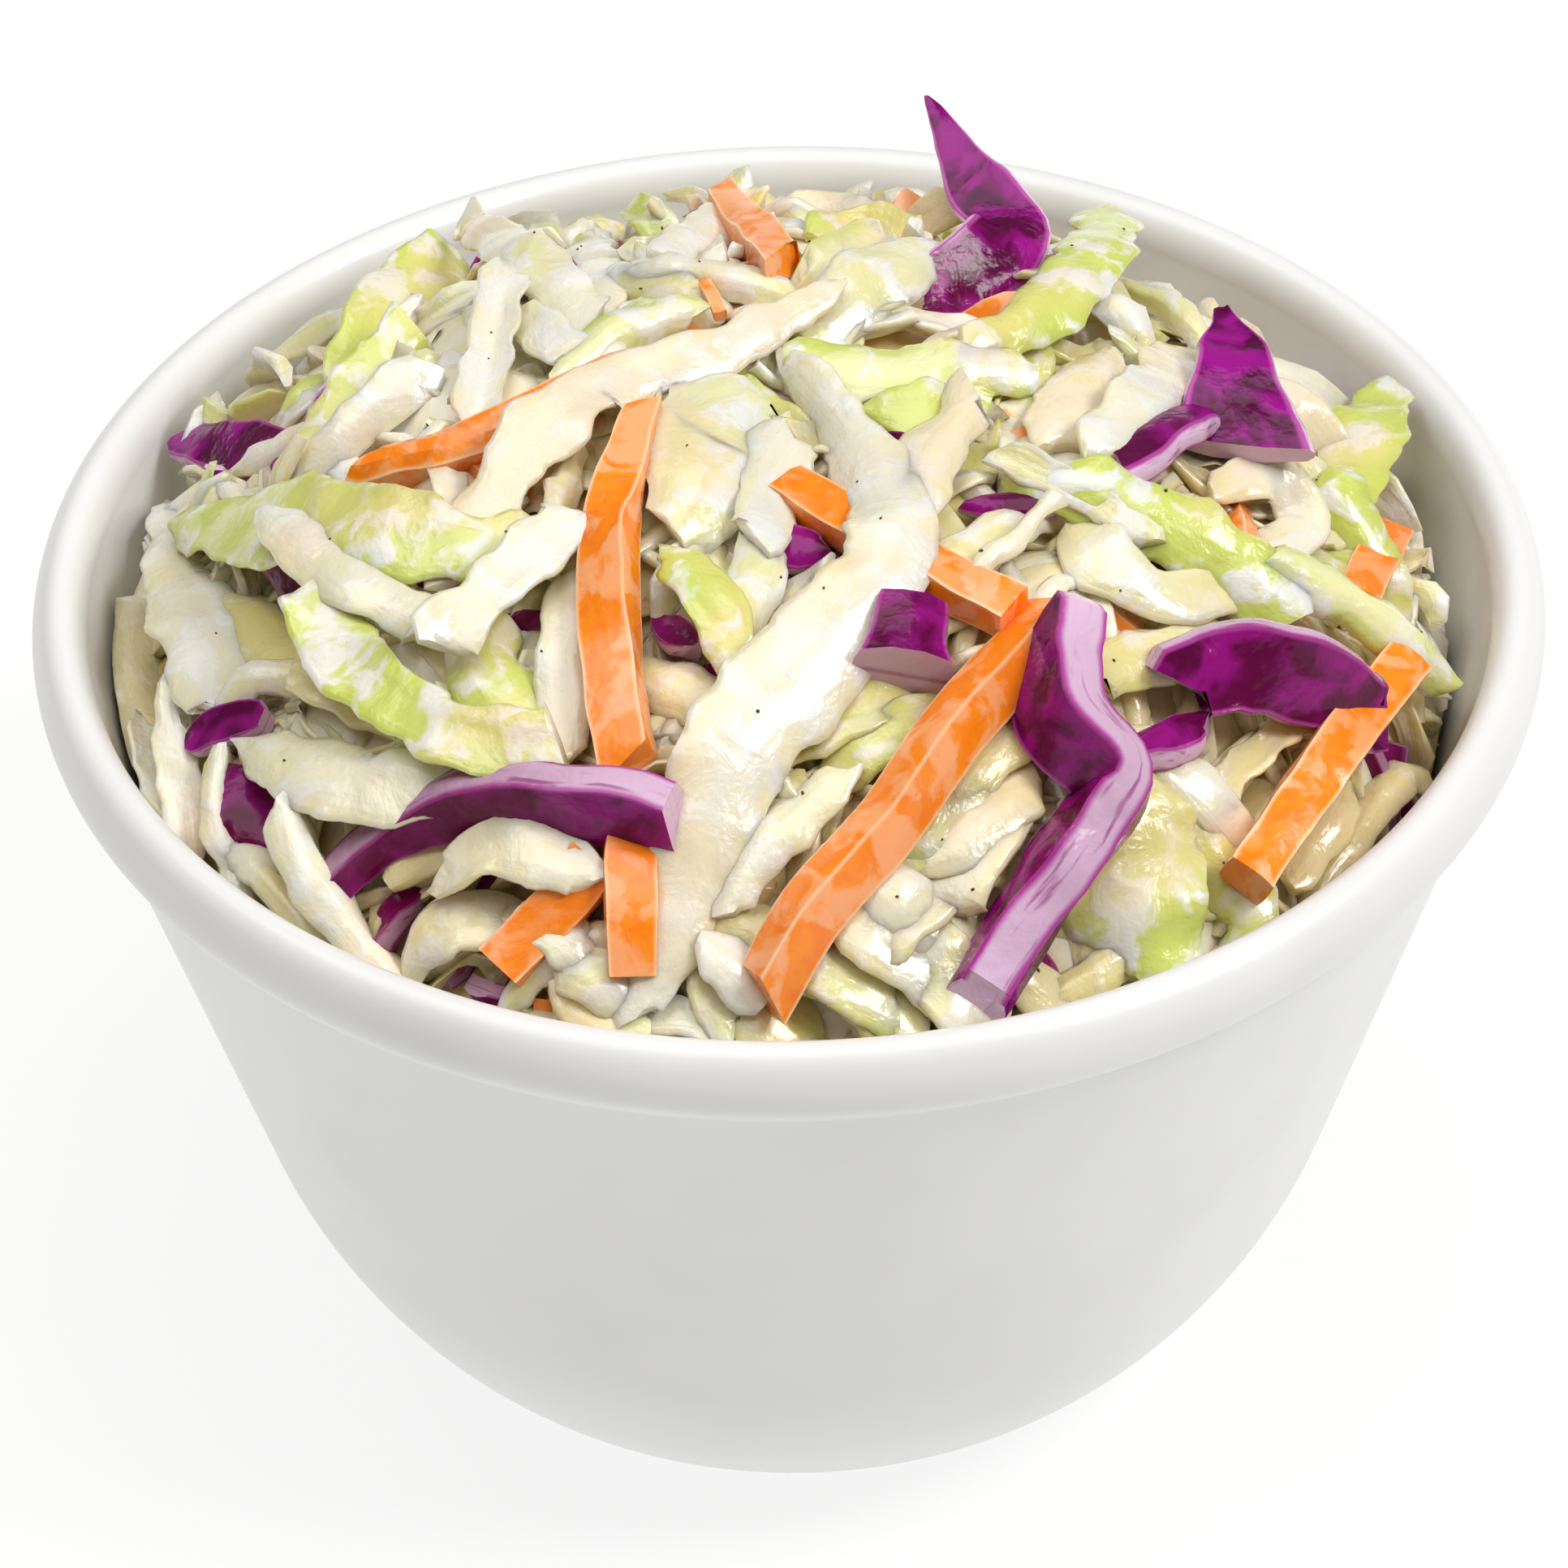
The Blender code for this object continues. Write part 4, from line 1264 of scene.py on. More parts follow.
# The large shreds that give the heap its face, in the order in which they are laid: x to the right, y to the
# back and the height over the rim's top of a few places along each, then its widths and its thickness
FACE = (
    # against the left wall
    Shred(W, ((-42, -8, -5), (-41, -15, -5), (-39, -20, -5)), (1.6, 2.4, 2), 1.1, (20,), tone=0.5),
    Shred(W, ((-43, 6, -7), (-42, -3, -8), (-40, -10, -8)), (5, 6, 4), 0.9, (25,), tone=0.25),
    Shred(R, ((-35, -19, -1), (-34, -22, -2), (-33, -25, -3)), (4.6, 5, 4.6), 1.4, tone=0.2),
    Shred(R, ((-38, -15, -2), (-35, -16, 0), (-33, -17, 1)), (2.8, 3.2, 3), 1.4, tone=0.4),
    Shred(G, ((-36, -3, 0), (-33, -9, 1), (-31, -14, 2)), (4.4, 5, 4), 1.0, tone=0.8),
    Shred(R, ((-34, 0, 3), (-31, -5, 3), (-29, -10, 2)), (2.6, 3.4, 1), 1.2, tone=0.4),
    Shred(W, ((-36, -15, 0), (-34, -14, 2), (-30, -15, 3)), (1.6, 2.2, 2.2), 1.2, tone=0.5),
    Shred(W, ((-31, -15, 4), (-28, -19, 4), (-25, -22, 4)), (3, 3.4, 3), 1.2, tone=0.7),
    Shred(W, ((-41, 15, -5), (-40, 4, -2), (-38, -5, 0), (-36, -15, 0)), (1.6, 3.6, 5.8, 5), 0.9, (-10,),
          tone=0.3),
    Shred(W, ((-40, -10, -1), (-39, -17, -3), (-38, -23, -5)), (1.4, 2.8, 2.6), 1.2, tone=0.3),
    Shred(W, ((-36, -18, 0), (-36, -22, -2), (-34, -28, -5)), (1.6, 2.6, 2.2), 1.2, tone=0.25),
    Shred(W, ((-36, -24, -4), (-34, -26, -3), (-30, -31, -4), (-28, -33, -6)), (2.8, 3.2), 1.4, tone=0.4),
    Shred(R, ((-40, 18, -3), (-36, 13, 0), (-31, 6, 4)), (3, 4.6, 3.4), 1.6, tone=0.2),
    Shred(W, ((-36, 9, 1), (-31, 8, 5), (-28, 9, 6)), (1.4, 2.2, 2), 1.2, tone=0.4),
    # the back
    Shred(W, ((-13, 30, 4), (-12, 18, 9), (-12, 11, 11)), (3, 3.6, 3), 1.2, tone=0.3),
    Shred(W, ((-13, 20, 6), (-11, 18, 9), (-6, 14, 11), (-4, 12, 10)), (3, 3), 1.1, tone=0.9),
    Shred(W, ((-2, 32, 4), (-5, 25, 8), (-8, 19, 10)), (3.4, 3.8, 3), 1.4, tone=0.2),
    Shred(W, ((0, 31, 5), (4, 30, 6), (8, 24, 8)), (3, 3.6, 2.6), 1.2, tone=0.35),
    Shred(G, ((2, 23, 9), (5, 26, 8), (9, 22, 9)), (3, 3.4, 3), 1.0, tone=0.6),
    Shred(G, ((-22, 30, 4), (-26, 21, 5), (-29, 14, 4)), (4.4, 5.4, 3.4), 0.9, tone=0.9),
    Shred(G, ((-24, 14, 9), (-28, 9, 7), (-31, 5, 5)), (3.4, 4.2, 3), 1.0, tone=0.75),
    Shred(W, ((-21, 30, 6), (-17, 19, 11), (-12, 10, 12)), (3, 4.2, 3.2), 1.0, tone=0.4),
    Shred(W, ((-18, 16, 12), (-19, 8, 11), (-20, 1, 10)), (3, 3, 2.6), 1.2, tone=0.2),
    Shred(W, ((-17, 12, 11), (-14, 7, 12), (-10, 6, 12)), (3, 3.4, 3), 1.0, tone=0.5),
    Shred(W, ((-11, 18, 9), (-8, 17, 11), (-2, 14, 12), (1, 13, 11)), (2.4, 2.8), 1.1, tone=0.6),
    Shred(C, ((-5, 14, 12), (-4, 10, 13)), (0.9, 0.9), 0.9, stiff=True, taper=0.0, tone=0.5),
    Shred(C, ((-4, 32, 6), (0, 16, 12)), (2.2, 3), 2.2, (20,), slant=0.6, stiff=True, taper=0.0, tone=0.9),
    Shred(W, ((1, 8, 12), (6, 13, 13), (11, 19, 11)), (5, 5.6, 2), 1.0, tone=0.7),
    Shred(G, ((-5, 10, 13), (-10, 8, 13), (-15, 4, 12)), (2.6, 3.2, 2.6), 1.1, tone=0.3),
    Shred(G, ((0, 4, 13), (7, 2, 13), (16, 4, 12)), (3.4, 5, 4), 1.0, tone=0.5),
    Shred(G, ((5, -1, 13), (9, -2, 13), (13, 0, 12)), (3.4, 3.8, 3.4), 1.1, tone=0.95, ripple=1.0),
    Shred(G, ((22, 29, 7), (20, 16, 12), (16, 8, 13), (11, 4, 13)), (4.4, 4.6, 5, 3), 1.1, tone=0.85),
    Shred(W, ((21, 9, 9.4), (18.6, 2, 11), (16.6, -3, 10.8)), (3.6, 4.6, 3.8), 1.2, tone=0.44),
    # the right
    Shred(W, ((40, -15, -6), (38, -18, -5), (34, -24, -6), (32, -27, -8)), (2.8, 3), 1.2, tone=0.8),
    Shred(W, ((35, -20, -3), (31, -28, -5)), (2.8, 3.2), 1.2, tone=0.6),
    Shred(W, ((33, -18, 0), (31, -20, 1), (26, -26, 0), (24, -28, -2)), (2.8, 3.2), 1.1, tone=0.9),
    Shred(W, ((20, -24, 4), (22, -25, 4), (26, -27, 1), (28, -28, -2)), (3.2, 3.8), 1.2, tone=0.3),
    Shred(R, ((21, -27, 5), (26, -23, 4)), (3.4, 2.6), 2.0, (20,), tone=0.6),
    Shred(C, ((39, 5, -3), (36, -6, 0)), (3, 3), 2.8, (15,), slant=0.2, stiff=True, taper=0.0, tone=0.3),
    Shred(G, ((38, 2, -2), (34, -6, 2)), (3.8, 4), 1.0, tone=0.7),
    Shred(W, ((33, 8, 2), (35, 5, 0), (35, 0, 0)), (2.6, 3, 2.6), 1.1, tone=0.6),
    Shred(W, ((27, -3, 7), (31, 0, 6), (33, -2, 4), (31, -6, 4)), (2.6, 3.8, 3.6, 3), 1.2, tone=0.4),
    Shred(G, ((40, 19, 0), (38, 11, 1), (36, 4, 1)), (3.4, 5.4, 4.4), 0.9, tone=0.85),
    Shred(G, ((35, 5, 3), (36, 3, 2), (38, -1, -2), (39, -3, -6)), (4, 3.4), 0.9, tone=0.8),
    Shred(R, ((27, 3, 9), (24, -1, 10.5), (21, -5, 11)), (3.4, 4.6, 4.6), 1.8, (-35,), taper=0.3,
          tone=0.7),
    Shred(R, ((28.6, 13, 10), (29, 7.5, 10), (29, 3.5, 9), (29, 0, 8)), (1.2, 4.6, 7, 8.4), 1.6, (10,),
          taper=0.2, tone=0.15),
    Shred(W, ((26, 12, 7), (23, 2, 11), (19, -5, 12)), (3.4, 4.2, 3.4), 1.2, tone=0.4),
    Shred(W, ((18, -10, 10), (20, -14, 10), (24, -15, 8), (29, -12, 6)), (3, 4, 4, 3), 1.4, tone=0.5),
    Shred(R, ((23, -11, 8), (24, -12, 7)), (1.8, 1.6), 1.2, tone=0.5),
    Shred(G, ((26, -15, 6), (23, -19, 7), (18, -23, 8)), (4, 5, 4.4), 1.2, tone=0.5),
    Shred(R, ((24, -21.5, 6.5), (28, -20, 6.5), (32.5, -19, 4.5), (37, -17.5, 1)), (5.4, 6.4, 5.8, 4), 2.6,
          (-36,), taper=0.3, tone=0.25),
    Shred(G, ((14, -7, 12), (19, -9, 12), (25, -11, 10), (32, -14, 6)), (3.5, 4.8, 5.4, 5), 1.0, tone=0.8),
    Shred(G, ((30, -11, 8), (37, -11, 3), (42, -10, -3)), (3, 3.2, 2.8), 2.4, stiff=True, taper=0.3,
          tone=0.35),
    # the middle
    Shred(R, ((-8, -18, 9), (-6, -21, 9)), (2.4, 2.2), 1.4, tone=0.1),
    Shred(R, ((-2, -12, 11), (3, -14, 11)), (3.2, 3), 1.6, tone=0.1),
    Shred(R, ((6, -4, 12), (9, -7, 12)), (2.6, 2.4), 1.4, tone=0.4),
    Shred(R, ((11, -9, 11), (18, -9, 11)), (1.8, 2), 1.2, tone=0.5),
    Shred(W, ((-12, -20, 6), (-9, -22, 8), (-5, -25, 8), (-2, -27, 6)), (3.6, 3.6), 1.1, tone=0.95),
    Shred(G, ((-2, -27, 5), (1, -26, 7), (5, -25, 8), (8, -24, 7)), (4.4, 4.4), 1.1, tone=0.9),
    Shred(G, ((2, -29, 5), (5, -28, 7), (9, -26, 7), (12, -25, 5)), (4.4, 4.4), 1.1, tone=0.8),
    Shred(G, ((-19, -16, 9), (-19, -21, 8), (-16, -26, 7)), (4.2, 4.8, 4.2), 1.1, tone=0.75),
    Shred(W, ((-13, -14, 11), (-14, -21, 9), (-14, -28, 6)), (3.4, 3.8, 3.4), 1.0, tone=0.2),
    Shred(W, ((18, -7, 8), (16, -9, 10), (11, -14, 11), (9, -16, 10)), (3.2, 3.4), 1.1, tone=0.9),
    Shred(C, ((0, -8, 12), (7, -15, 12), (14, -20, 11)), (3, 3.2, 3), 2.4, (15,), stiff=True, taper=0.0,
          tone=0.45),
    Shred(W, ((-1, -10, 12), (-2, -16, 11), (-4, -21, 10)), (3.4, 4, 3.2), 1.1, tone=0.95),
    Shred(W, ((0, -3, 13), (-2, -14, 12)), (5, 4.4), 1.2, tone=0.3),
    Shred(W, ((-2, 1, 13), (-4, -5, 14), (-7, -13, 12.5)), (9, 10.4, 4.4), 1.0, curl=-0.2, taper=0.6,
          tone=0.75),
    Shred(G, ((-8, -15, 12), (-5, -19, 12), (-3, -24, 10)), (3, 3.6, 3.2), 1.0, (10,), tone=0.95),
    Shred(R, ((7.5, -20, 11.3), (7, -24.5, 10.2)), (4.8, 4.4), 4.2, (10,), taper=0.0, tone=0.2),
    Shred(W, ((13, -6, 13), (17, -8, 12), (23, -12, 10)), (2.2, 2.8, 2.4), 1.4, tone=0.9),
    Shred(W, ((12, -1, 14), (9, -8, 14), (7, -14, 13)), (3.4, 4.2, 3.6), 1.1, tone=0.45),
    Shred(W, ((17, -11, 13), (11, -18, 12)), (1.2, 1.4), 1.0, tone=0.4),
    # the left
    Shred(G, ((-40, 6, -1), (-29, -7, 9), (-21, -12, 11), (-13, -13, 11)), (2.4, 7, 6.4, 3.6), 1.0,
          tone=0.8),
    Shred(W, ((-33, -4, 8), (-28, -12, 9), (-22, -18, 9)), (3.5, 4.8, 3), 1.1, tone=0.3),
    Shred(W, ((-13, -12, 13), (-22, -21, 10)), (3.8, 5), 1.2, tone=0.4),
    Shred(C, ((-20, 0, 9), (-17, -5, 9)), (2.4, 2.4), 2.0, (30,), stiff=True, taper=0.0, tone=0.1),
    Shred(C, ((-27, 0, 8), (-20, -1, 11), (-11, 3, 13)), (2.6, 3, 2.8), 2.2, (10,), stiff=True, taper=0.5,
          tone=0.5),
    # the front
    Shred(G, ((-5, -37, -2), (-3, -39, -2), (-1, -42, -4), (1, -44, -7)), (4.6, 5), 1.1, tone=0.8),
    Shred(W, ((-25, -31, -1), (-22, -30, 1), (-18, -31, 2)), (3, 3.4, 3), 1.2, tone=0.6),
    Shred(W, ((-23, -33, -3), (-20, -34, -1), (-15, -36, 0), (-12, -37, -1)), (3.2, 3.2), 1.2, tone=0.9),
    Shred(W, ((-24, -36, -4), (-21, -35, -1), (-16, -36, -1)), (2.4, 4.4, 3.6), 1.4, taper=0.6, tone=0.5),
    Shred(W, ((-18, -39, -4), (-15, -38, -1), (-12, -37, 0), (-9, -36, -1)), (2.6, 2.6), 1.4, tone=0.9),
    Shred(G, ((-14, -38, -1), (-13, -40, -3), (-9, -42, -4)), (4, 4.6, 3.6), 1.8, tone=0.35),
    Shred(W, ((-12, -40, -6), (-9, -41, -4), (-5, -42, -4), (-2, -43, -6)), (2.4, 2.8), 1.2, tone=0.5),
    Shred(W, ((-6, -38, 0), (-5, -40, -2), (-4, -43, -4)), (3, 3.8, 3), 1.3, tone=0.8),
    Shred(W, ((-8, -36, 0), (-5, -37, 1), (0, -39, 0), (3, -40, -2)), (3.8, 4.2), 1.2, tone=0.9),
    Shred(G, ((0, -39, 0), (4, -41, -2), (8, -43, -5)), (3.6, 4.8, 4), 1.8, tone=0.3),
    Shred(W, ((4, -36, 2), (6, -38, 0), (9, -41, -3)), (3.6, 4.8, 4.4), 1.4, tone=0.85),
    Shred(W, ((12, -32, 1), (10, -34, 2), (6, -38, 1), (4, -40, -1)), (4.2, 4.4), 1.4, tone=0.6),
    Shred(W, ((7, -37, 1), (9, -40, -1), (12, -42, -4)), (4, 5.2, 4.6), 1.5, tone=0.7),
    Shred(W, ((13, -30, 4), (11, -34, 3), (9, -37, 1)), (4, 5.2, 4.4), 1.8, tone=0.15),
    Shred(G, ((13, -28, 6), (10, -32, 5), (6, -35, 4)), (3.2, 4.2, 3.4), 1.2, tone=0.7),
    Shred(W, ((10, -38, -2), (13, -39, -2), (17, -40, -5), (20, -41, -8)), (3.4, 3.6), 1.3, tone=0.7),
    Shred(G, ((13, -40, -6), (16, -39, -4), (20, -37, -3), (23, -36, -4)), (3, 3.8), 1.6, tone=0.3),
    Shred(R, ((13, -37, -1), (15, -38, -3), (17, -40, -5)), (1.8, 2.4, 1.4), 1.2, tone=0.3),
    Shred(G, ((24, -27, 2), (26, -29, -1), (28, -32, -4), (27, -34, -6)), (4, 5.6, 5, 3), 1.1, tone=0.95,
          ripple=1.0),
    Shred(G, ((20, -25, 6), (20, -31, 3), (21, -35, 0), (22, -38, -4)), (5, 10, 9.6, 6), 1.2, (10,),
          curl=-0.2, tone=0.95, ripple=1.6),
    Shred(W, ((-4, -38, 2), (-1, -34, 5), (4, -30, 7)), (2.4, 3.4, 3), 1.1, tone=0.5),
    Shred(C, ((-12, -34, 3), (-18, -38, -2)), (3.4, 3.4), 3.2, (10,), stiff=True, taper=0.0, tone=0.6),
    Shred(G, ((0, -40, 0), (3, -41, -1), (6, -42, -3)), (3.4, 4.6, 4), 1.4, tone=0.4),
    Shred(W, ((-6, -39, 1), (-4, -40, 0), (-2, -42, -2)), (3.2, 4, 3.4), 1.3, tone=0.3),
    Shred(W, ((-14, -39, -1), (-12, -40, -1), (-9, -41, -3)), (3.2, 4.4, 3.4), 1.3, tone=0.6),
    Shred(W, ((-17, -36, 1), (-14, -38, 0), (-12, -40, -2)), (2.8, 4, 3.2), 1.3, tone=0.2),
    Shred(W, ((3, -38, 2), (5, -39, 1), (8, -40, -1), (11, -42, -4)), (4, 5, 4.6, 3.4), 1.4, tone=0.1),
    Shred(W, ((2, -34, 4), (6, -37, 3), (8, -38, 1), (12, -39, -2)), (3.4, 5, 4.8, 3.6), 1.4, tone=0.3),
    Shred(W, ((15, -29, 5), (11, -33, 4.5), (7, -35, 3)), (3.4, 4.4, 3.6), 1.3, tone=0.2),
    Shred(G, ((15, -26, 7), (12, -29, 6.5), (9, -32, 5), (5, -36, 3)), (2.6, 3.8, 4.2, 3.4), 1.2,
          tone=0.55),
    Shred(C, ((-10, -32, 4.5), (-10, -37, 2.5), (-10, -40, -1)), (3.2, 3.4, 3), 2.6, (15,), taper=0.0,
          tone=0.2, ripple=0.1),
    Shred(W, ((-22, -33, 1), (-19, -33, 3), (-16, -34, 4), (-12, -36, 3)), (2.6, 4.6, 4.8, 3.2), 1.5,
          tone=0.2, ripple=0.9),
    Shred(R, ((-29, -30, -1.5), (-24, -29, 2.5), (-19, -30, 5), (-13, -32, 6.5), (-7, -34, 6.5)),
          (1.8, 3.2, 4.8, 5.6, 5), 3.2, (-50, -62, -66), taper=0.3, tone=0.3),
    Shred(W, ((-35, -18, 0), (-31, -23, 2.5), (-27, -27, 4), (-22, -29, 5), (-17, -29, 6)),
          (2.2, 5.2, 6, 5.2, 3.6), 1.2, tone=0.3),
    Shred(G, ((-30, -12, 8), (-28, -18, 7), (-24, -24, 7.5), (-20, -28, 8), (-14, -30, 8.5)),
          (4.6, 5.4, 4.2, 4, 4.8), 1.2, taper=0.3, tone=0.6),
    Shred(W, ((-32, -26, 2), (-30, -30, 0), (-27, -34, -3), (-23, -38, -6)), (4, 3.8, 3.2, 3), 1.8,
          tone=0.25),
    Shred(C, ((-9, -2, 14), (-11, -13, 13), (-11, -23, 10), (-10, -30, 7)), (2.2, 3.2, 3.6, 3.4), 2.4,
          (-20,), taper=0.0, slant=0.3, tone=0.55, ripple=0.1),
    Shred(C, ((16, -20, 10), (10, -29, 9), (6, -34, 6), (1, -39, 3), (-2, -42, -1)),
          (2.8, 3.4, 3.4, 3.4, 3.2), 3.0, (48,), taper=0.0, slant=-0.3, tone=0.7, ripple=0.1),
    Shred(C, ((39, -12, 0), (34, -22, 1), (28, -32, -1)), (3.2, 3.4, 3.2), 2.8, (20,), stiff=True,
          taper=0.0, tone=0.8),
    Shred(R, ((17, -22, 11), (17, -28, 9), (20, -31, 6), (16, -36, 3), (11, -42, -2)),
          (5.6, 5.6, 4, 3.8, 2.8), 4.0, (-52, -48, -52, -56), taper=0.4, tone=0.45),
    # on top
    Shred(W, ((-20, -11, 10), (-16, -4, 13), (-11, 1, 14), (-5, 4, 14.5), (4, 11, 14)),
          (4.4, 4.8, 3.8, 3.2, 1.8), 1.1, (10, -10), tone=0.45),
    Shred(W,
          ((0, 4, 12.5), (3, -2, 14.5), (6, -11, 15), (6, -18, 13), (0.5, -25, 10.5), (-4, -31, 8),
           (-7.5, -38, 1.5), (-10, -42, -3)), (3, 3.8, 4.8, 6.4, 7.8, 7.2, 4.6, 2.8), 1.3,
          (-30, -10, 10, 20, 10), curl=-0.15, tone=0.15, ripple=0.2),
    Shred(R, ((9, 14, 10), (15, 20, 11), (12.5, 26, 12.5), (10, 32, 14.5)), (4.6, 5.8, 3.6, 0.5), 0.9,
          (-20, -10, 0), tone=0.3),
)


@dataclass
class Dressing:
    """The cream dressing that fills the gaps between the shreds and climbs a little up their sides."""

    pile: Pile
    cling: int = 3
    sink: float = 0.8
    sway: float = 0.9
    sway_cells: int = 6
    rings: int = 120
    steps: int = 320
    middle: float = 0.01  # the innermost ring's share of the outermost
    overlap: float = 0.3  # how far past the heap's side the outermost ring starts
    bed: float = 1.5

    def _levels(self) -> tuple[np.ndarray, np.ndarray]:
        """The height of the dressing in every cell, and its painted shade there, stronger where it lies
        lower.
        """
        chance = np.random.default_rng(SEED + 2)
        sway = spread(chance.normal(size=self.pile.height.shape), self.sway_cells)
        sway = sway / sway.std()
        sink = self.sink + self.sway * np.clip(sway, -1.3, 2.0)
        # the second grid is painted shade, which grows as the dressing sinks lower
        return spread(self.pile.wet, self.cling) - sink, np.clip((sink - self.sink + 0.8) / 2.4, 0.0, 1.0)

    def _sample(self, grid: np.ndarray, x: np.ndarray, y: np.ndarray) -> np.ndarray:
        """A grid's values at places, blended from the four cells around each."""
        columns = (x + self.pile.half) / self.pile.cell
        rows = (y + self.pile.half) / self.pile.cell
        left, low = np.floor(columns).astype(int), np.floor(rows).astype(int)
        right_share, high_share = columns - left, rows - low
        lower = grid[left, low] * (1 - right_share) + grid[left + 1, low] * right_share
        upper = grid[left, low + 1] * (1 - right_share) + grid[left + 1, low + 1] * right_share
        return lower * (1 - high_share) + upper * high_share

    def build(self) -> None:
        """Makes the dressing as one closed body on a flat bed inside the core."""
        levels, painted_shades = self._levels()
        angles = np.linspace(0.0, math.tau, self.steps, endpoint=False)
        rings, soak = [], []
        for share in np.linspace(1.0, self.middle, self.rings):
            reach = share * (self.pile.heap.side + self.overlap)
            x, y = reach * np.cos(angles), reach * np.sin(angles)
            rings.append(self.pile.heap.keep_inside(np.stack([x, y, self._sample(levels, x, y)], axis=1)))
            soak.append(self._sample(painted_shades, x, y))
        bed = rings[0].copy()
        bed[:, 2] = levels.min() - self.bed
        rings.insert(0, self.pile.heap.keep_inside(bed))
        soak.insert(0, np.ones(self.steps))
        mesh = closed_rings("dressing", rings, DressingFinish().material())
        mesh.attributes.new("soak", "FLOAT", "POINT").data.foreach_set("value", np.concatenate(soak))
        hand_over(add_piece("dressing", mesh), "dressing", "coleslaw")


@dataclass
class Pepper:
    """Specks of ground pepper that stick to the shreds."""

    covered: Sequence[bpy.types.Object]
    count: int = 110
    radius: float = 0.16
    reach: float = 42.0
    drop_height: float = 30.0

    def _spots(self) -> list[Vector]:
        """Places on the upper side of the shreds."""
        chance = np.random.default_rng(SEED + 3)
        spots = []
        for piece in self.covered:
            tree = BVHTree.FromObject(piece, bpy.context.evaluated_depsgraph_get())
            for _ in range(self.count // len(self.covered)):
                reach, angle = self.reach * math.sqrt(chance.random()), chance.uniform(0, math.tau)
                x, y = reach * math.cos(angle), reach * math.sin(angle)
                start = Vector((x, y, RIM_HEIGHT + self.drop_height)) * MM
                spot = tree.ray_cast(start, Vector((0, 0, -1)))[0]
                if spot is not None:
                    spots.append(spot)
        return spots

    def build(self) -> None:
        """Makes the specks as one piece, each a turned and stretched grain."""
        mesh = bpy.data.meshes.new("pepper")
        mesh.from_pydata([tuple(spot) for spot in self._spots()], [], [])
        piece = add_piece("pepper", mesh)
        graph = ModifierTree("pepper_grains", {"Radius": self.radius * MM, "Seed": SEED})
        given = graph.given
        ball = {"Radius": given["Radius"], "Subdivisions": 1}
        grain = graph.add("GeometryNodeMeshIcoSphere", ball).outputs[0]
        points = graph.add("GeometryNodeMeshToPoints", {"Mesh": given["Geometry"]}).outputs[0]
        ranges = ({"Min": (0.5, 0.5, 0.3), "Max": (1.5, 1.2, 0.8)}, {"Max": (3.0, 3.0, 3.0)})
        size, turn = (graph.add("FunctionNodeRandomValue", {**limits, "Seed": given["Seed"]},
                                data_type="FLOAT_VECTOR").outputs[0] for limits in ranges)
        inputs = {"Points": points, "Instance": grain, "Scale": size, "Rotation": turn}
        grains = graph.add("GeometryNodeInstanceOnPoints", inputs).outputs[0]
        graph.close(grains, PepperFinish().material())
        graph.put_on(piece)
        own_mesh(piece)
        hand_over(piece, "dressing", "coleslaw")


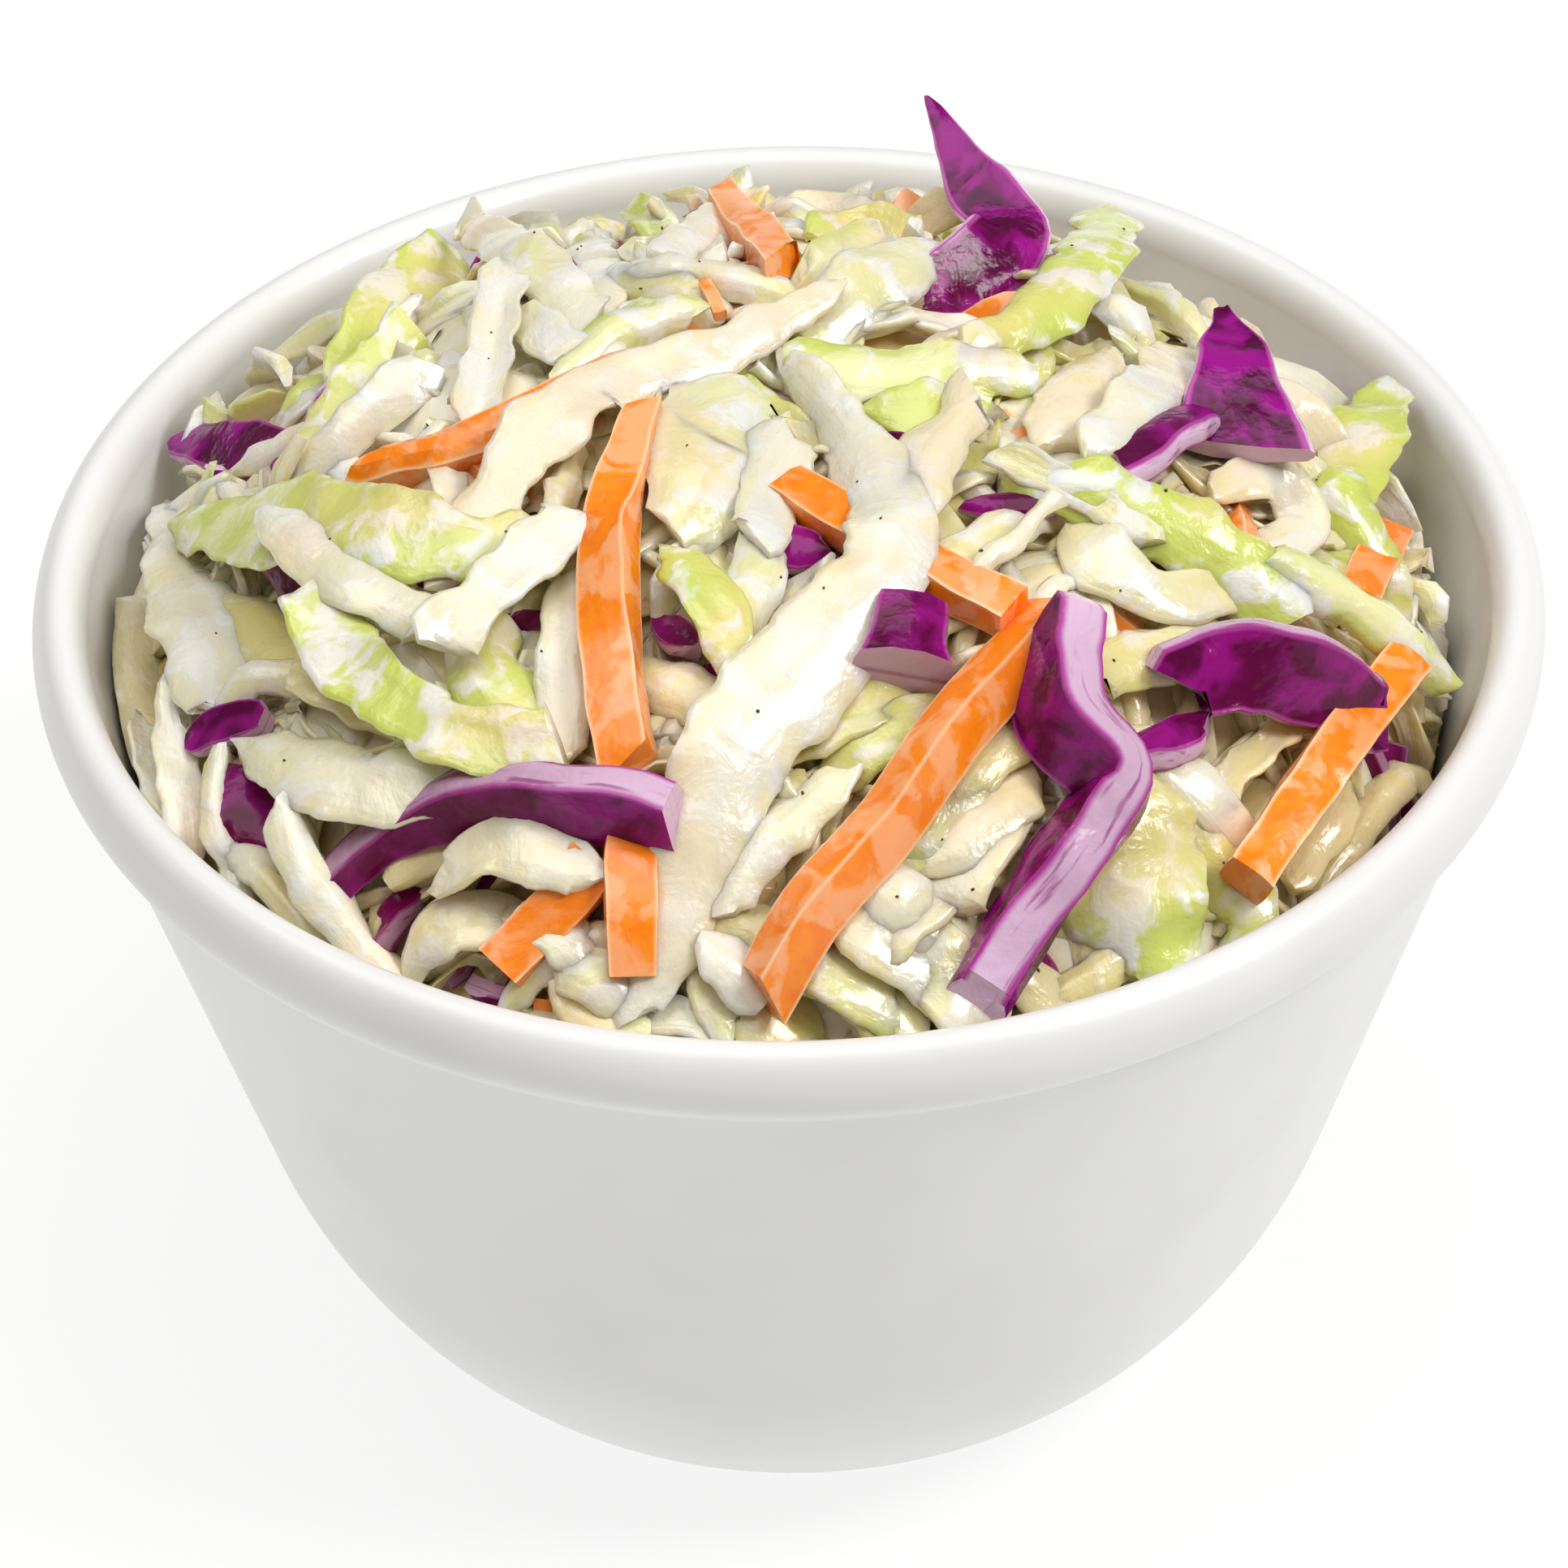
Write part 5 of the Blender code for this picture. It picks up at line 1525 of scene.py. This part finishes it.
@dataclass
class Slaw:
    """All that fills the cup: core, shreds, dressing and pepper."""

    heap: Heap
    core_depth: float = 4.6
    margin: float = 1.5
    tries: int = 4200
    choices: int = 6
    layers: tuple[float, ...] = (-1.6, -0.6, 0.3, 1.1, 1.8, 2.4)
    behind: int = 900
    behind_size: float = 0.75
    behind_inner: float = 0.35
    behind_limit: float = 4.2
    scrap_tries: int = 840
    scrap_white: float = 0.7
    scrap_size: float = 0.6
    scrap_limit: float = 2.6
    pile: Pile = field(init=False)

    def _loose(self, chance: np.random.Generator, kind: Kind, size: float = 1.0,
               turn: float = math.tau, inner: float = 0.0) -> Shred:
        """A shred of a kind's usual cut, at a place where the pile is low.

        Args:
            chance: the source of random numbers.
            kind: the vegetable.
            size: its length as a share of the usual, for scraps.
            turn: how far round the cup from the right its place may be.
            inner: the share of the plan, from the middle out, that it keeps off.

        Returns:
            The shred, level, for the pile to lay.
        """
        cut = CUTS[kind]
        heading = chance.uniform(0, math.tau)
        reach = self.heap.side - self.margin
        reaches = reach * np.sqrt(chance.uniform(inner, 1.0, self.choices))
        angles = chance.uniform(0, turn, self.choices)
        spots = np.stack([reaches * np.cos(angles), reaches * np.sin(angles)], axis=1)
        spot = max(spots, key=lambda place: self.pile.lack(*place))
        length = chance.uniform(*cut.lengths) * size
        bend = math.radians(chance.normal() * cut.bend / 2)
        steps = np.linspace(-0.5, 0.5, 6)
        course = heading + bend * steps
        path = np.stack([np.cumsum(np.cos(course)), np.cumsum(np.sin(course))], axis=1) * length / 6
        path = path - path.mean(axis=0) + spot
        reaches = np.maximum(np.hypot(path[:, 0], path[:, 1]), 1e-6)
        path *= np.minimum(reach / reaches, 1.0)[:, None]
        width = chance.uniform(*cut.widths)
        return Shred(
            kind, np.column_stack([path, np.zeros(6)]), width * chance.uniform(0.7, 1.1, 3),
            chance.uniform(*cut.thicknesses) if not cut.stiff else width * chance.uniform(0.8, 1.0),
            cut.roll * chance.uniform(-1, 1, 2), cut.curl * chance.uniform(-1, 1),
            cut.slant * chance.uniform(-1, 1), cut.taper, chance.random(), cut.stiff, cut.ripple,
        )

    @staticmethod
    def _any_kind(chance: np.random.Generator) -> Kind:
        """A vegetable, drawn by its share of the slaw."""
        kinds = list(CUTS)
        return kinds[chance.choice(len(kinds), p=[cut.share for cut in CUTS.values()])]

    def lay(self) -> None:
        """Lays the loose shreds, more of them on the back half, then the large ones, then small scraps."""
        chance = np.random.default_rng(SEED)
        self.pile = Pile(self.heap, self.core_depth)
        laid = scraps = 0
        for shred in FACE:
            self.pile.reserve(shred)
        for limit in self.layers:
            for _ in range(self.tries // len(self.layers)):
                laid += self.pile.lay(self._loose(chance, self._any_kind(chance)), chance, limit)
        self.pile.settle()
        for _ in range(self.behind):
            kind = self._any_kind(chance)
            shred = self._loose(chance, kind, self.behind_size, math.pi, self.behind_inner)
            laid += self.pile.lay(shred, chance, self.behind_limit)
        for shred in FACE:
            self.pile.lay(shred, chance)
        for _ in range(self.scrap_tries):
            kind = Kind.WHITE if chance.random() < self.scrap_white else Kind.GREEN
            scraps += self.pile.lay(self._loose(chance, kind, self.scrap_size), chance, self.scrap_limit)
        log.info("laid %d loose shreds, %d large ones and %d scraps", laid, len(FACE), scraps)

    def build(self) -> None:
        """Makes every piece of the slaw."""
        self.lay()
        Core(self.heap).build()
        white = CabbageFinish("white_cabbage_dressed", colour(234, 228, 208), colour(224, 220, 166),
                              colour(234, 225, 188), coverage=0.6)
        green = CabbageFinish("green_cabbage_dressed", colour(230, 228, 176), colour(203, 214, 110),
                              colour(194, 208, 98), coverage=0.54)
        leaves = [Sweep(Kind.WHITE, self.pile, white.material()).build(),
                  Sweep(Kind.GREEN, self.pile, green.material()).build()]
        Sweep(Kind.CARROT, self.pile, CarrotFinish().material(), squareness=14.0, thin_edge=0.0,
              lumps=0.02, fray=0.06, sharp=35.0).build()
        Sweep(Kind.RED, self.pile, RedCabbageFinish().material(), squareness=7.0, thin_edge=0.1,
              lumps=0.08, fray=0.12, sharp=40.0).build()
        Dressing(self.pile).build()
        Pepper(leaves).build()


# --------------------------------------------------------------------------- studio


@dataclass
class Studio:
    """A pale floor, soft light from the right and from above, and a long lens that looks down."""

    distance: float = 588.0
    elevation: float = 39.1
    roll: float = -1.1
    aim: tuple[float, float, float] = (-0.5, 0.0, -17.9)
    lens: float = 204.8
    floor_half: float = 1.6
    floor_glow: float = 0.78
    sky: float = 0.18

    def floor(self) -> None:
        """A wide white sheet under the cup."""
        mesh = bpy.data.meshes.new("studio_floor")
        half = self.floor_half
        corners = [(-half, -half, 0), (half, -half, 0), (half, half, 0), (-half, half, 0)]
        mesh.from_pydata(corners, [], [(0, 1, 2, 3)])
        paint = Paint("studio_white", 0.8, Specular_IOR_Level=0.1)
        grain = paint.noise(30.0, 2.0)
        pale = paint.blend(grain, colour(128, 128, 128), colour(134, 134, 134))
        mesh.materials.append(paint.finish(pale))
        paint.shader.inputs["Emission Color"].default_value = (1.0, 1.0, 1.0, 1.0)
        paint.shader.inputs["Emission Strength"].default_value = self.floor_glow
        add_piece("studio_floor", mesh)

    def light(self, name: str, place: tuple, size: float, power: float, tint: tuple) -> None:
        """A square soft light that faces the cup.

        Args:
            name: its name.
            place: where it stands, in metres.
            size: its side, in metres.
            power: in watts.
            tint: its colour.
        """
        lamp = bpy.data.lights.new(name, "AREA")
        lamp.size, lamp.energy, lamp.color = size, power, tint
        stand = bpy.data.objects.new(name, lamp)
        bpy.context.scene.collection.objects.link(stand)
        stand.location = place
        ahead = Vector((0, 0, RIM_HEIGHT * MM)) - Vector(place)
        stand.rotation_euler = ahead.to_track_quat("-Z", "Y").to_euler()

    def camera(self) -> None:
        """The camera, from the front and above, a touch out of level."""
        rise, roll = math.radians(self.elevation), math.radians(self.roll)
        right, up = Vector((1, 0, 0)), Vector((0, math.sin(rise), math.cos(rise)))
        ahead = Vector((0, math.cos(rise), -math.sin(rise)))
        place = (Vector(self.aim) + Vector((0, 0, RIM_HEIGHT)) - ahead * self.distance) * MM
        across = right * math.cos(roll) + up * math.sin(roll)
        upwards = up * math.cos(roll) - right * math.sin(roll)
        lens = bpy.data.cameras.new("camera")
        lens.lens = self.lens
        lens.clip_start = 0.01
        viewer = bpy.data.objects.new("camera", lens)
        bpy.context.scene.collection.objects.link(viewer)
        turn = Matrix((across, upwards, -ahead)).transposed().to_4x4()
        viewer.matrix_world = Matrix.Translation(place) @ turn
        bpy.context.scene.camera = viewer

    def build(self) -> None:
        """Sets the floor, the lights, the world and the camera."""
        self.floor()
        self.light("key", (0.78, -0.3, 1.02), 0.42, 10.2, (1.0, 0.99, 0.97))
        self.light("sky", (-0.2, 0.0, 1.25), 1.2, 12.0, (1.0, 0.99, 0.975))
        world = bpy.data.worlds.new("studio")
        world.use_nodes = True
        background = world.node_tree.nodes["Background"].inputs
        background["Color"].default_value = (1.0, 0.965, 0.91, 1.0)
        background["Strength"].default_value = self.sky
        bpy.context.scene.world = world
        bpy.context.scene.view_settings.view_transform = "Standard"
        self.camera()


def main() -> None:
    """Builds the cup, the slaw and the studio."""
    logging.basicConfig(level=logging.INFO, format="%(name)s: %(message)s")
    cup = Cup()
    cup.build()
    Slaw(Heap(cup)).build()
    Studio().build()


if __name__ == "__main__":
    main()
